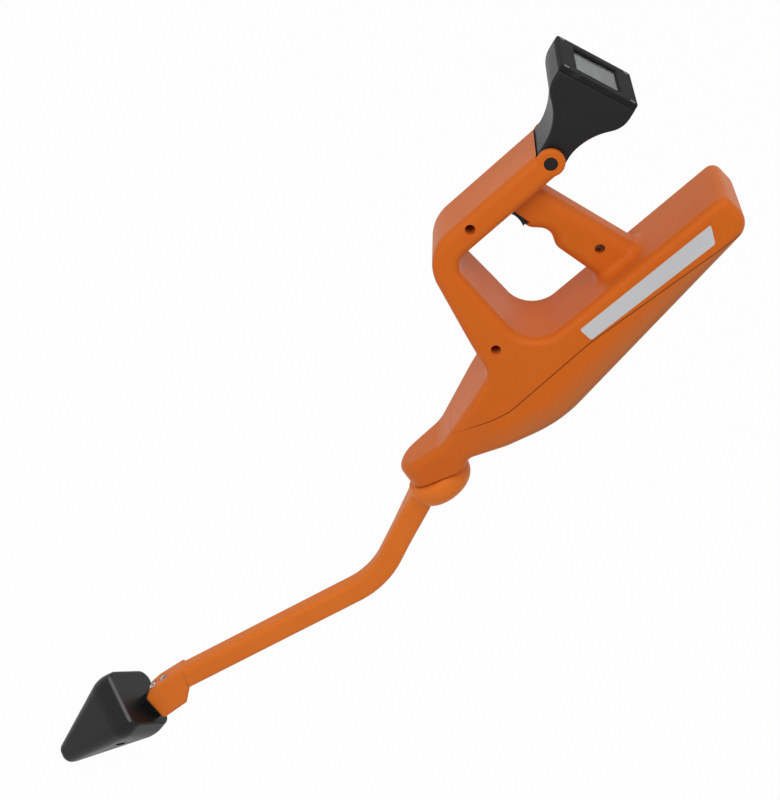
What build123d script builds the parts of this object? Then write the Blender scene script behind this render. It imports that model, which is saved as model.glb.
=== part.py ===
from build123d import *
import os
from math import atan2, cos, degrees, radians, sin, tan

# Hand-held pipe locator, in millimetres.
# The origin is the middle of the grip. +X runs back towards the tail and the user, +Z is up,
# and the left side of the object is on -Y.

# Clearances and walls
WALL = 2.8
GAP = 0.4
RUNNING_GAP = 0.05
SEAM_GAP = 0.4

# Body outline, across and along the lean of the front limb
LEAN = 9.8
LIMB_FRONT = 87.5
LIMB_DEPTH = 27.0
LIMB_HALF = 36.9
LIMB_DROP = 115.0
LIMB_ROUND = 44.0
BODY_FRONT = 56.0
BODY_HALF = 47.0
BODY_START = 5.0
TAIL_RISE = 131.0
TAIL_DEPTH = 96.0
TAIL_TOP_ROUND = 10.0
TAIL_BACK_ROUND = 20.0
BELLY_DEPTH = 132.8
BELLY_DROP = 135.4
BELLY_ROUND = 140.0
OPENING_FRONT_ROUND = 16.0
OPENING_REAR_ROUND = 32.0
LOWER_FRONT_DEPTH = 16.0
LOWER_REAR_DEPTH = 11.0
NOSE_START = 46.0
NOSE_STEP = 37.0
NOSE_ROUND = 15.0
SIDE_ROUND = 200.0
FORM_EDGE = 8.5
RIM_TURN = 60.0
SEAM = [(97.3, 147.7), (84.4, -56.7), (88.0, -164.4), (41.8, -327.7)]
SEAM_ROUNDS = [300.0, 60.0]

# Nose and swivel, off and along the swivel plane
SWIVEL_X = 55.0
SWIVEL_Z = -295.0
SWIVEL_LEAN = 20.0
BOSS_RADIUS = 26.0
BOSS_SKIRT = 10.0
BOSS_REAR = 29.0
BOSS_ROUND = 12.0
BOSS_FLOOR = 5.0
NOSE_DEPTH = 23.5
NOSE_END = 40.0
NOSE_TIP_ROUND = 1.0
WAIST_DEPTH = 32.5
WAIST_RISE = 30.0
WAIST_ROUND = 40.0
HEEL_DEPTH = 7.0
HEEL_RISE = 48.0
HEEL_ROUND = 14.0
TAPER_DROP = 27.0
TAPER_ROUND = 60.0

# Grip and trigger
GRIP_HALF = 18.0
GRIP_TOP = 19.2
GRIP_TILT = 4.6
GRIP_BOTTOM = 23.0
GRIP_FRONT = 74.0
GRIP_REAR = 72.0
GRIP_EDGE = 12.0
SCALLOP_X = -19.0
SCALLOP_HALF = 16.0
SCALLOP_DEPTH = 11.0
SCALLOP_ROUND = 14.0
GRIP_REAR_ROOT = 10.0
GRIP_FRONT_ROOT = 4.0
NOTCH_REAR = -40.0
NOTCH_DEPTH = 7.0
SLOT_GAP = 1.0
TRIGGER_HALF = 13.0
TRIGGER_TIP = -61.0
TRIGGER_TIP_Z = -22.0
TRIGGER_REACH = 24.5
TRIGGER_HOLLOW = 2.4
TRIGGER_PIVOT_X = -32.0
TRIGGER_PIVOT_Z = -9.5
TRIGGER_HUB = 3.5
TRIGGER_PIN = 2.0
TRIGGER_EDGE = 1.2
TRIGGER_GAP = 2.5
TRIGGER_REAR_GAP = 1.2
SPRING_X = -53.0
SPRING_RADIUS = 3.5
SPRING_WIRE = 1.0

# Tilt hinge and display head, from the hinge pin
HINGE_RISE = 35.5
HINGE_PIN = 6.5
PIN_SINK = 0.5
EAR_INNER = 35.0
EAR_FACE = 39.8
EAR_EDGE = 3.0
NECK_RADIUS = 13.4
SADDLE_GAP = 1.2
WASHER_THICK = 1.0
WASHER_RADIUS = 11.0
BUSH_WALL = 2.0
BUSH_LENGTH = 12.0
HEAD_LEAN = 8.1
HEAD_HALF_DEPTH = 39.5
HEAD_HALF_WIDTH = 44.0
HEAD_TOP = 86.0
BEZEL_THICK = 5.2
GASKET_THICK = 0.6
GASKET_INSET = 0.4
NECK_TOP = 10.0
NECK_STRAIGHT = 14.0
NECK_FLARE = 60.0
FLARE_END = 72.0
SHOULDER_RISE = 62.0
SHOULDER_ROUND = 40.0
HEAD_EDGE = 3.0
HEAD_WIRE_HOLE = 4.0
HEAD_PILLAR = 3.0
HEAD_PILLAR_INSET = 7.0
POCKET_CORNER = 4.0
BEZEL_EDGE = 1.5
BOARD_MARGIN = 1.0
LCD_MARGIN = 1.0
HEAD_CORNER = 4.0
POCKET_DEPTH = 22.0
POCKET_HALF_DEPTH = 30.0
POCKET_HALF_WIDTH = 39.0
WINDOW_HALF_DEPTH = 22.0
WINDOW_HALF_WIDTH = 30.0
WINDOW_SLOPE = 1.5
WINDOW_LIP = 4.0
WINDOW_THICK = 1.6
WINDOW_RECESS = 2.4
BEZEL_SCREW_DEPTH = 34.0
BEZEL_SCREW_WIDTH = 39.0
BOARD_THICK = 1.6
HEAD_BOARD_RISE = 8.0

# Screws
SHELL_SCREW = 2.0
SHELL_SCREW_HEAD = 4.0
SHELL_SCREW_SEAT = 10.0
SHELL_SCREW_BITE = 14.0
SCREW_HEAD_THICK = 3.0
SCREW_WELL = 5.0
SCREW_BOSS = 8.0
SMALL_SCREW = 1.25
SMALL_SCREW_HEAD = 2.4
SMALL_HEAD_THICK = 1.6
SMALL_SCREW_LENGTH = 12.0
LIMB_SCREW_RISE = -61.6
LIMB_SCREW_SHIFT = -3.0
LOWER_SCREW_ACROSS = 28.7
LOWER_SCREW_DROP = 11.6
GRIP_SCREW = (29.3, 2.3)
SOCKET_SHARE = 0.6

# Belly pan and batteries
PAN_SCREW_HALF = 34.0
PAN_SCREW_RISES = [70.0, -135.0]
PAN_SCREW_FLOOR = 5.0
PAN_SCREW_BITE = 10.0
PAN_BOSS = 6.0
PAN_BOSS_LENGTH = 14.0
DOOR_RISE = -62.0
DOOR_CORNER = 6.0
DOOR_LEDGE = 4.0
DOOR_END_LEDGE = 12.0
DOOR_GAP = 0.3
LEDGE_THICK = 3.0
LEDGE_MARGIN = 3.0
DOOR_BOSS = 3.6
DOOR_PULL_RADIUS = 9.0
DOOR_PULL_DEPTH = 1.4
CELL_RADIUS = 13.0
CELL_LENGTH = 50.0
CELL_GAP = 1.0
CONTACT_THICK = 1.0
CELL_NUB = 4.0
CELL_NUB_HEIGHT = 1.5
TRAY_WALL = 2.0

# Electronics in the body
LIMB_CAP = 5.0
BOARD_STANDOFF = 6.0
BOARD_HALF_WIDTH = 35.0
BOARD_TOP = 65.0
BOARD_BOTTOM = -70.0
BOARD_POST = 4.0
BOARD_POST_INSET = 8.0
SOUNDER_RADIUS = 14.0
SOUNDER_THICK = 9.0
SOUNDER_RISE = 42.0
SWITCH_X = -33.0
SWITCH_Z = 2.0
SWITCH_HALF = 6.0
SWITCH_LENGTH = 20.0
SWITCH_HEIGHT = 10.0
SWITCH_PEG = 3.0

# Swivel joint and antenna arm
BUSH_FLANGE = 1.5
BUSH_FLANGE_RADIUS = 20.0
SPINDLE_RADIUS = 8.0
SPINDLE_DEPTH = 24.0
SPINDLE_BORE = 4.0
SPINDLE_END = 2.0
SWIVEL_BUSH_WALL = 2.5
SWIVEL_SEAT = 10.0
SWIVEL_SEAT_RADIUS = 16.0
SWIVEL_WASHER_THICK = 1.5
SWIVEL_WASHER_RADIUS = 13.0
SWIVEL_NUT_FLATS = 24.0
SWIVEL_NUT_THICK = 7.0
LOBE_RADIUS = 34.0
LOBE_FACE_RADIUS = 30.0
LOBE_RISE = 9.0
LOBE_DEPTH = 30.0
LOBE_CROWN = 18.0
ARM_DEPTH = 24.0
ARM_HALF = 10.5
ARM_EDGE = 4.5
ARM_ROOT_OFF = 10.0
ARM_ROOT_DROP = 14.0
ARM_ROOT_HALF = 20.0
ARM_ROOT_END = 70.0
ARM_ROOT_ROUND = 80.0
ARM_OFF = 79.5
ARM_BEND_DROP = 121.0
ARM_BEND_ROUND = 100.0
ARM_END_OFF = 72.0
ARM_WIRE = 6.0
ARM_WIRE_ROUND = 10.0
FORK_TOP = 366.0
FORK_DROP = 423.0
FORK_HALF = 12.0
FORK_SLOT_HALF = 7.5
FORK_SLOT_TOP = 388.0
FORK_SLOPE = 2.0
FORK_LIP = 21.0
FORK_CUT = 8.0
FORK_CHIN = 3.0
FORK_TOE = 9.5
FORK_HEEL = 29.0
FORK_HEEL_RISE = 35.0
FORK_HEEL_STEP = 4.0
FORK_REAR_TOP = 375.0
FORK_WALL = 8.0
FORK_ROUND = 3.0
FORK_EDGE = 1.5
FORK_SCREW_DROPS = [396.0, 412.0]
FORK_SCREW_SEAT = 5.0
FORK_SCREW_LENGTH = 14.0

# Foot
FOOT_X = -28.4
FOOT_Z = -727.0
FOOT_LEAN = 10.4
FOOT_SIDE = 68.0
FOOT_CORNER = 13.0
FOOT_SHOULDER_DEPTH = 20.0
FOOT_SHOULDER_SIDE = 76.0
FOOT_SHOULDER_CORNER = 17.0
FOOT_SHOULDER_ROUND = 40.0
FOOT_HEIGHT = 123.0
FOOT_TIP_SIDE = 21.0
FOOT_TIP_CORNER = 10.0
FOOT_TIP_ROUND = 9.5
FOOT_TOP_EDGE = 2.5
FOOT_WALL = 3.0
FOOT_CAVITY_DEPTH = 96.0
FOOT_SCREW_ACROSS = 20.0
FOOT_SCREW_DROP = 48.0
FOOT_SCREW_SEAT = 3.0
FOOT_SCREW_BITE = 6.0
FOOT_BOSS = 7.5
FOOT_RIB = 3.0
PEG_BOSS = 3.0
TANG_FRONT = 4.0
TANG_REAR = 30.0
TANG_RISE = 12.0
TANG_DEPTH = 30.0
TANG_HOLE = 4.0
TANG_HOLE_ACROSS = 18.0
TANG_HOLE_DROP = 16.0
TANG_GAP = 0.1
CORE_TOP = 34.0
CORE_LENGTH = 46.0
CORE_RADIUS = 4.5
BOBBIN_WALL = 1.2
BOBBIN_FLANGE = 9.5
BOBBIN_FLANGE_THICK = 2.0
COIL_RADIUS = 8.5

REACH = 400.0
HAIR = 0.005
BOARD_POSTS = [
    (rise, side * (BOARD_HALF_WIDTH - BOARD_POST_INSET))
    for rise in (BOARD_TOP - BOARD_POST_INSET, BOARD_BOTTOM + BOARD_POST_INSET)
    for side in (-1, 1)
]


def side_plane(x, z, lean):
    """Plane seen from the left side, whose second axis leans by so many degrees towards +X."""
    tilt = radians(lean)
    return Plane((x, 0, z), x_dir=(cos(tilt), 0, -sin(tilt)), z_dir=(0, -1, 0))


def plan_of(frame):
    """Plane across a side frame, with its normal along the frame's rise."""
    return Plane(frame.origin, x_dir=frame.x_dir, z_dir=frame.y_dir)


def front_of(frame):
    """Plane along a side frame, with its normal along the frame's first axis."""
    return Plane(frame.origin, x_dir=frame.y_dir, z_dir=frame.x_dir)


def spot(frame, across, rise):
    """X and Z of a point given in a side frame."""
    point = frame.from_local_coords((across, rise, 0))
    return (point.X, point.Z)


LEAN_FRAME = side_plane(0, 0, LEAN)
SWIVEL_FRAME = side_plane(SWIVEL_X, SWIVEL_Z, SWIVEL_LEAN)
PIN_ACROSS = -LIMB_FRONT + LIMB_DEPTH / 2
PIN_X, PIN_Z = spot(LEAN_FRAME, PIN_ACROSS, HINGE_RISE)
PIN_FRAME = side_plane(PIN_X, PIN_Z, LEAN)
HEAD_FRAME = side_plane(PIN_X, PIN_Z, -HEAD_LEAN)
FOOT_FRAME = side_plane(FOOT_X, FOOT_Z, FOOT_LEAN)
NOSE_X, NOSE_Z = spot(LEAN_FRAME, NOSE_START, -LIMB_DROP - NOSE_STEP)
TAPER_RISE = SWIVEL_FRAME.to_local_coords(Vector(NOSE_X, 0, NOSE_Z)).Y - TAPER_DROP
TAIL_BACK_X, TAIL_BACK_Z = spot(LEAN_FRAME, TAIL_DEPTH, TAIL_RISE)
BELLY_X, BELLY_Z = spot(LEAN_FRAME, BELLY_DEPTH, -BELLY_DROP)
BELLY_LEAN = degrees(atan2(TAIL_BACK_X - BELLY_X, TAIL_BACK_Z - BELLY_Z))
BELLY_FRAME = side_plane(BELLY_X - BELLY_Z * tan(radians(BELLY_LEAN)), 0, BELLY_LEAN)


def edges_by_turn(part, least):
    """Edges off the middle plane whose two faces turn by at least so many degrees."""
    chosen = ShapeList()
    faces = part.faces()
    for edge in part.edges():
        middle = edge @ 0.5
        normals = [face.normal_at(middle) for face in faces if edge in face.edges()]
        if abs(middle.Y) > 1 and len(normals) == 2 and normals[0].get_angle(normals[1]) > least:
            chosen.append(edge)
    return chosen


def edges_on(part, plane, half_width):
    """Edges that lie on a plane, within so much of the middle plane."""
    chosen = ShapeList()
    for edge in part.edges():
        points = [edge @ place for place in (0, 0.5, 1)]
        flat = all(abs(plane.to_local_coords(point).Z) < 0.01 for point in points)
        if flat and all(abs(point.Y) < half_width + 0.01 for point in points):
            chosen.append(edge)
    return chosen


def shifted(plane, across, along, lift):
    """The same plane moved along its three axes."""
    return Plane(plane.from_local_coords((across, along, lift)), x_dir=plane.x_dir, z_dir=plane.z_dir)


def four_corners(half_depth, half_width):
    """Places at the four corners of a rectangle."""
    return GridLocations(2 * half_depth, 2 * half_width, 2, 2)


def rod(plane, radius, start, end, mode=Mode.ADD):
    """Round bar along a plane's normal, between two distances from the plane."""
    with BuildSketch(plane.offset(start)) as section:
        Circle(radius)
    extrude(section.sketch, amount=end - start, mode=mode)


def ring(plane, outer, inner, start, end):
    """Washer or sleeve along a plane's normal, between two distances from the plane."""
    with BuildSketch(plane.offset(start)) as section:
        Circle(outer)
        Circle(inner, mode=Mode.SUBTRACT)
    extrude(section.sketch, amount=end - start)


def screw(plane, head, head_thick, shank, length):
    """Socket screw whose head sits on a plane, with its shank below."""
    rod(plane, head, 0, head_thick)
    rod(plane, shank, -length, 0)
    with BuildSketch(plane.offset(head_thick)) as socket:
        RegularPolygon(SOCKET_SHARE * head, 6)
    extrude(socket.sketch, amount=-SOCKET_SHARE * head_thick, mode=Mode.SUBTRACT)


def cross_plane(x, z):
    """Plane across the object at a point of its side view, with its normal towards +Y."""
    return Plane((x, 0, z), x_dir=(1, 0, 0), z_dir=(0, 1, 0))


# Body form: the widening from limb to body, the taper to the nose and the side outline, crossed
def housing_form(inset):
    ear_front = spot(LEAN_FRAME, -LIMB_FRONT, HINGE_RISE)
    ear_top = spot(LEAN_FRAME, PIN_ACROSS, HINGE_RISE + LIMB_DEPTH / 2)
    ear_rear = spot(LEAN_FRAME, -LIMB_FRONT + LIMB_DEPTH, HINGE_RISE)
    with BuildPart() as form:
        with BuildSketch(plan_of(LEAN_FRAME)):
            with BuildLine():
                FilletPolyline(
                    (-LIMB_FRONT - LIMB_DEPTH, LIMB_HALF),
                    (BODY_START, BODY_HALF),
                    (REACH, BODY_HALF),
                    (REACH, -BODY_HALF),
                    (BODY_START, -BODY_HALF),
                    (-LIMB_FRONT - LIMB_DEPTH, -LIMB_HALF),
                    radius=[SIDE_ROUND, 0, 0, SIDE_ROUND],
                )
                Line((-LIMB_FRONT - LIMB_DEPTH, -LIMB_HALF), (-LIMB_FRONT - LIMB_DEPTH, LIMB_HALF))
            make_face()
            if inset:
                offset(amount=-inset, mode=Mode.REPLACE)
        extrude(amount=REACH, both=True)
        with BuildSketch(front_of(SWIVEL_FRAME)) as nose:
            Circle(BOSS_RADIUS - inset)
            with Locations((TAPER_RISE + REACH, 0)):
                Rectangle(2 * REACH, 2 * (BODY_HALF + HAIR - inset))
            make_hull()
            fillet(nose.vertices().group_by(Axis.X)[-2], TAPER_ROUND - inset)
        extrude(amount=REACH, both=True, mode=Mode.INTERSECT)
        with BuildSketch(Plane.XZ):
            with BuildLine():
                FilletPolyline(
                    ear_front,
                    spot(LEAN_FRAME, -LIMB_FRONT, -LIMB_DROP),
                    (NOSE_X, NOSE_Z),
                    spot(SWIVEL_FRAME, -WAIST_DEPTH, WAIST_RISE),
                    spot(SWIVEL_FRAME, -NOSE_DEPTH, -NOSE_END),
                    spot(SWIVEL_FRAME, BOSS_SKIRT, -NOSE_END),
                    spot(SWIVEL_FRAME, BOSS_SKIRT, BOSS_REAR),
                    spot(SWIVEL_FRAME, -HEEL_DEPTH, HEEL_RISE),
                    (BELLY_X, BELLY_Z),
                    (TAIL_BACK_X, TAIL_BACK_Z),
                    spot(LEAN_FRAME, BODY_FRONT, TAIL_RISE),
                    spot(LEAN_FRAME, BODY_FRONT, LOWER_REAR_DEPTH - LIMB_DROP),
                    spot(LEAN_FRAME, -LIMB_FRONT + LIMB_DEPTH, LOWER_FRONT_DEPTH - LIMB_DROP),
                    ear_rear,
                    radius=[LIMB_ROUND, NOSE_ROUND, WAIST_ROUND, NOSE_TIP_ROUND, NOSE_TIP_ROUND, BOSS_ROUND,
                            HEEL_ROUND, BELLY_ROUND, TAIL_BACK_ROUND, TAIL_TOP_ROUND, OPENING_REAR_ROUND,
                            OPENING_FRONT_ROUND],
                )
                ThreePointArc(ear_rear, ear_top, ear_front)
            make_face()
            if inset:
                offset(amount=-inset, mode=Mode.REPLACE)
        extrude(amount=2 * BODY_HALF, both=True, mode=Mode.INTERSECT)
        fillet(edges_by_turn(form.part, RIM_TURN), FORM_EDGE - inset)
    return form.part


# Grip: a rounded bar with a finger scallop, running into the limb and into the body
def grip_bar(inset):
    slope = tan(radians(GRIP_TILT))
    front_top = (-GRIP_FRONT, GRIP_TOP - GRIP_FRONT * slope)
    rear_top = (GRIP_REAR, GRIP_TOP + GRIP_REAR * slope)
    with BuildPart() as bar:
        with BuildSketch(Plane.XZ):
            with BuildLine():
                FilletPolyline(
                    front_top,
                    (-GRIP_FRONT, -GRIP_BOTTOM),
                    (SCALLOP_X - SCALLOP_HALF, -GRIP_BOTTOM),
                    (SCALLOP_X, -GRIP_BOTTOM + SCALLOP_DEPTH),
                    (SCALLOP_X + SCALLOP_HALF, -GRIP_BOTTOM),
                    (GRIP_REAR, -GRIP_BOTTOM),
                    rear_top,
                    radius=[0, SCALLOP_ROUND, SCALLOP_ROUND, SCALLOP_ROUND, 0],
                )
                Line(rear_top, front_top)
            make_face()
            if inset:
                offset(amount=-inset, mode=Mode.REPLACE)
        extrude(amount=GRIP_HALF - inset, both=True)
        sides = bar.faces().sort_by(Axis.Y)
        fillet((sides[0].edges() + sides[-1].edges()).filter_by(Axis.Z, reverse=True), GRIP_EDGE - inset)
    return bar.part


# Zone of the belly pan: everything behind and below the seam
def pan_zone(gap):
    with BuildPart() as zone:
        with BuildSketch(LEAN_FRAME):
            with BuildLine():
                FilletPolyline(*SEAM, radius=SEAM_ROUNDS)
                Polyline(SEAM[-1], (REACH, SEAM[-1][1]), (REACH, SEAM[0][1]), SEAM[0])
            make_face()
            if gap:
                offset(amount=-gap, mode=Mode.REPLACE)
        extrude(amount=BODY_HALF + WALL, both=True)
    return zone.part


def seam_x(z):
    """X of the seam at a height of the side view."""
    points = [spot(LEAN_FRAME, across, rise) for across, rise in SEAM]
    for (x_above, z_above), (x_below, z_below) in zip(points, points[1:]):
        if z_below <= z <= z_above:
            return x_above + (x_below - x_above) * (z - z_above) / (z_below - z_above)


def limb_rear_x(z):
    """X of the limb's rear face at a height of the side view."""
    return (LIMB_DEPTH - LIMB_FRONT + z * sin(radians(LEAN))) / cos(radians(LEAN))


def pan_screw_plane(y, z):
    """Seat of a pan screw's head, facing out of the belly."""
    return Plane((seam_x(z) + PAN_SCREW_FLOOR, y, z), x_dir=(0, 1, 0), z_dir=(1, 0, 0))


NOTCH_Z = -GRIP_BOTTOM + NOTCH_DEPTH
SLOT_LENGTH = NOTCH_REAR - limb_rear_x(NOTCH_Z) - SLOT_GAP
SADDLE_RADIUS = NECK_RADIUS + SADDLE_GAP
PIN_CROSS = cross_plane(PIN_X, PIN_Z)
TRIGGER_CROSS = cross_plane(TRIGGER_PIVOT_X, TRIGGER_PIVOT_Z)
SWITCH_CROSS = cross_plane(SWITCH_X, SWITCH_Z)
BODY_FACE = front_of(LEAN_FRAME).offset(BODY_FRONT)
LIMB_FACE = front_of(LEAN_FRAME).offset(LIMB_DEPTH - LIMB_FRONT)
SWIVEL_FACE = front_of(SWIVEL_FRAME)
LIMB_SCREW = spot(LEAN_FRAME, PIN_ACROSS + LIMB_SCREW_SHIFT, LIMB_SCREW_RISE)
LOWER_SCREW = spot(LEAN_FRAME, LOWER_SCREW_ACROSS, -LIMB_DROP - LOWER_SCREW_DROP)
SHELL_SCREWS = [LIMB_SCREW, LOWER_SCREW, GRIP_SCREW]
PAN_SCREWS = [(side * PAN_SCREW_HALF, z) for side in (-1, 1) for z in PAN_SCREW_RISES]

# Ear at the top of the limb, a disc on each side that holds the hinge pin
with BuildPart() as ears:
    for side in (-1, 1):
        rod(PIN_CROSS, LIMB_DEPTH / 2, side * EAR_INNER, side * EAR_FACE)
    ear_sides = ears.faces().sort_by(Axis.Y)
    fillet(ear_sides[0].edges() + ear_sides[-1].edges(), EAR_EDGE)

# Outer form of the whole body, with the nose cut flat, the saddle for the neck and the trigger's notch
outer_form = housing_form(0)
outer_grip = grip_bar(0)
with BuildPart() as body:
    add(outer_form)
    add(outer_grip)
    for face, root in ((BODY_FACE, GRIP_REAR_ROOT), (LIMB_FACE, GRIP_FRONT_ROOT)):
        fillet(edges_on(body.part, face, GRIP_HALF), root)
    rod(SWIVEL_FACE, 2 * BOSS_RADIUS, 0, 2 * BOSS_SKIRT, Mode.SUBTRACT)
    add(ears.part)
    with BuildSketch(PIN_FRAME):
        Circle(SADDLE_RADIUS)
        Rectangle(4 * LIMB_DEPTH, 2 * LIMB_DEPTH, align=(Align.CENTER, Align.MIN))
    extrude(amount=EAR_INNER, both=True, mode=Mode.SUBTRACT)
    with BuildSketch(Plane.XZ):
        Polygon(
            (limb_rear_x(NOTCH_Z), NOTCH_Z),
            (limb_rear_x(-2 * GRIP_BOTTOM), -2 * GRIP_BOTTOM),
            (NOTCH_REAR, -2 * GRIP_BOTTOM),
            (NOTCH_REAR, NOTCH_Z),
            align=None,
        )
    extrude(amount=2 * GRIP_HALF, both=True, mode=Mode.SUBTRACT)

# Hollow of the body: the form set in by the wall, closed over the swivel, below the saddle and at the notch
inner_form = housing_form(WALL)
inner_grip = grip_bar(WALL)
with BuildPart() as hollow:
    add(inner_form)
    rod(SWIVEL_FACE, 2 * BOSS_RADIUS, -BOSS_FLOOR, 2 * BOSS_SKIRT, Mode.SUBTRACT)
    with BuildSketch(plan_of(LEAN_FRAME).offset(HINGE_RISE - SADDLE_RADIUS - LIMB_CAP)):
        with Locations((PIN_ACROSS, 0)):
            Rectangle(2 * LIMB_DEPTH, 2 * BODY_HALF)
    extrude(amount=3 * LIMB_DEPTH, mode=Mode.SUBTRACT)
    add(inner_grip)
    with BuildSketch(Plane.XZ):
        Polygon(
            (limb_rear_x(NOTCH_Z + WALL) - WALL, NOTCH_Z + WALL),
            (limb_rear_x(-2 * GRIP_BOTTOM) - WALL, -2 * GRIP_BOTTOM),
            (NOTCH_REAR + WALL, -2 * GRIP_BOTTOM),
            (NOTCH_REAR + WALL, NOTCH_Z + WALL),
            align=None,
        )
    extrude(amount=GRIP_HALF, both=True, mode=Mode.SUBTRACT)

# Posts inside the shells: screw bosses, trigger pin bosses, board posts and bosses for the pan screws
with BuildPart() as posts:
    for x, z in SHELL_SCREWS:
        rod(cross_plane(x, z), SCREW_BOSS, -BODY_HALF, BODY_HALF)
    for side in (-1, 1):
        rod(TRIGGER_CROSS, TRIGGER_HUB, side * (TRIGGER_HALF + GAP), side * GRIP_HALF)
        rod(SWITCH_CROSS, SWITCH_PEG, side * SWITCH_HALF, side * GRIP_HALF)
    with BuildSketch(BODY_FACE):
        with Locations(*BOARD_POSTS):
            Circle(BOARD_POST)
    extrude(amount=WALL + BOARD_STANDOFF)
    add(body.part, mode=Mode.INTERSECT)

with BuildPart() as pan_columns:
    with BuildSketch(Plane.YZ):
        for y, z in PAN_SCREWS:
            with Locations((y, z)):
                Circle(PAN_BOSS)
                Rectangle(BODY_HALF, 2 * PAN_BOSS, align=(Align.MIN if y > 0 else Align.MAX, Align.CENTER))
    extrude(amount=REACH)
    add(body.part, mode=Mode.INTERSECT)

seam_zone = pan_zone(0)
pan_fill = pan_zone(SEAM_GAP)
boss_zone = pan_zone(-PAN_BOSS_LENGTH)
with BuildPart() as shell_bosses:
    add(pan_columns.part)
    add(boss_zone, mode=Mode.INTERSECT)
with BuildPart() as pan_posts:
    add(pan_columns.part)
    add(pan_fill, mode=Mode.INTERSECT)

os.makedirs("parts", exist_ok=True)

# Upper body, cut along the seam, with the hinge holes, the trigger slot and the screw holes
with BuildPart() as upper_body:
    add(body.part)
    add(hollow.part, mode=Mode.SUBTRACT)
    add(posts.part)
    add(shell_bosses.part)
    add(seam_zone, mode=Mode.SUBTRACT)
    rod(PIN_CROSS, HINGE_PIN, -BODY_HALF, BODY_HALF, Mode.SUBTRACT)
    with BuildSketch(Plane.XY.offset(NOTCH_Z)):
        with Locations((NOTCH_REAR, 0)):
            Rectangle(SLOT_LENGTH, 2 * (TRIGGER_HALF + GAP), align=(Align.MAX, Align.CENTER))
    extrude(amount=2 * WALL, both=True, mode=Mode.SUBTRACT)
    rod(TRIGGER_CROSS, TRIGGER_PIN, WALL - GRIP_HALF, GRIP_HALF - WALL, Mode.SUBTRACT)
    for x, z in SHELL_SCREWS:
        rod(cross_plane(x, z), SCREW_WELL, -BODY_HALF, -SHELL_SCREW_SEAT, Mode.SUBTRACT)
        rod(cross_plane(x, z), SHELL_SCREW + GAP, -SHELL_SCREW_SEAT, 0, Mode.SUBTRACT)
        rod(cross_plane(x, z), SHELL_SCREW, 0, SHELL_SCREW_BITE, Mode.SUBTRACT)
    for y, z in PAN_SCREWS:
        rod(pan_screw_plane(y, z), SHELL_SCREW, -PAN_SCREW_FLOOR - PAN_SCREW_BITE, 0, Mode.SUBTRACT)

# Left and right shell, parted down the middle
for name, keep in (("left_shell", Keep.TOP), ("right_shell", Keep.BOTTOM)):
    with BuildPart() as half_shell:
        add(upper_body.part)
        split(bisect_by=Plane.XZ, keep=keep)
    half_shell.part.label = name
    export_step(half_shell.part, f"parts/{name}.step")

# Screws that draw the right shell onto the left, deep in their wells
with BuildPart() as shell_screws:
    for x, z in SHELL_SCREWS:
        seat = Plane((x, -SHELL_SCREW_SEAT, z), x_dir=(1, 0, 0), z_dir=(0, -1, 0))
        screw(seat, SHELL_SCREW_HEAD, SCREW_HEAD_THICK, SHELL_SCREW, SHELL_SCREW_SEAT + SHELL_SCREW_BITE)
shell_screws.part.label = "shell_screws"
export_step(shell_screws.part, "parts/shell_screws.step")

# Battery bay sizes, from the cells outwards
BAY_HALF_WIDTH = 2 * CELL_RADIUS + 1.5 * CELL_GAP
BAY_LENGTH = 2 * CELL_LENGTH + 2 * CONTACT_THICK
BAY_DEPTH = 2 * CELL_RADIUS + CELL_GAP
DOOR_LENGTH = BAY_LENGTH + 2 * DOOR_END_LEDGE
DOOR_WIDTH = 2 * (BAY_HALF_WIDTH + DOOR_LEDGE)
DOOR_SCREW_RISE = DOOR_RISE + DOOR_LENGTH / 2 - DOOR_END_LEDGE / 2
BELLY_FACE = front_of(BELLY_FRAME)
DOOR_FACE = shifted(BELLY_FACE, DOOR_RISE, 0, 0)
DOOR_SCREW_FACE = shifted(BELLY_FACE, DOOR_SCREW_RISE, 0, -SMALL_HEAD_THICK)
BAY_MOUTH = -WALL - LEDGE_THICK
SWIVEL_BUSH = SPINDLE_RADIUS + RUNNING_GAP + SWIVEL_BUSH_WALL

# Belly pan: the part of the form behind the seam, with the battery bay's rim and the swivel boss
with BuildPart() as belly_pan:
    add(body.part)
    add(pan_fill, mode=Mode.INTERSECT)
    add(hollow.part, mode=Mode.SUBTRACT)
    add(pan_posts.part)
    with BuildSketch(DOOR_FACE.offset(-WALL)):
        RectangleRounded(DOOR_LENGTH + 2 * LEDGE_MARGIN, DOOR_WIDTH + 2 * LEDGE_MARGIN, DOOR_CORNER)
    extrude(amount=-LEDGE_THICK)
    rod(DOOR_SCREW_FACE, DOOR_BOSS, -SMALL_SCREW_LENGTH - LEDGE_THICK, SMALL_HEAD_THICK - WALL)
    with BuildSketch(DOOR_FACE.offset(WALL)):
        RectangleRounded(DOOR_LENGTH, DOOR_WIDTH, DOOR_CORNER)
    extrude(amount=-2 * WALL, mode=Mode.SUBTRACT)
    with BuildSketch(DOOR_FACE):
        Rectangle(BAY_LENGTH, 2 * BAY_HALF_WIDTH)
    extrude(amount=BAY_MOUTH, mode=Mode.SUBTRACT)
    rod(DOOR_SCREW_FACE, SMALL_SCREW, -SMALL_SCREW_LENGTH, 0, Mode.SUBTRACT)
    for y, z in PAN_SCREWS:
        rod(pan_screw_plane(y, z), SCREW_WELL, 0, BODY_HALF, Mode.SUBTRACT)
        rod(pan_screw_plane(y, z), SHELL_SCREW + GAP, -PAN_SCREW_FLOOR - PAN_BOSS, 0, Mode.SUBTRACT)
    rod(SWIVEL_FACE, SWIVEL_SEAT_RADIUS, -SWIVEL_SEAT, -BOSS_FLOOR)
    rod(SWIVEL_FACE, SWIVEL_BUSH, -SWIVEL_SEAT, 0, Mode.SUBTRACT)
belly_pan.part.label = "belly_pan"
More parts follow.
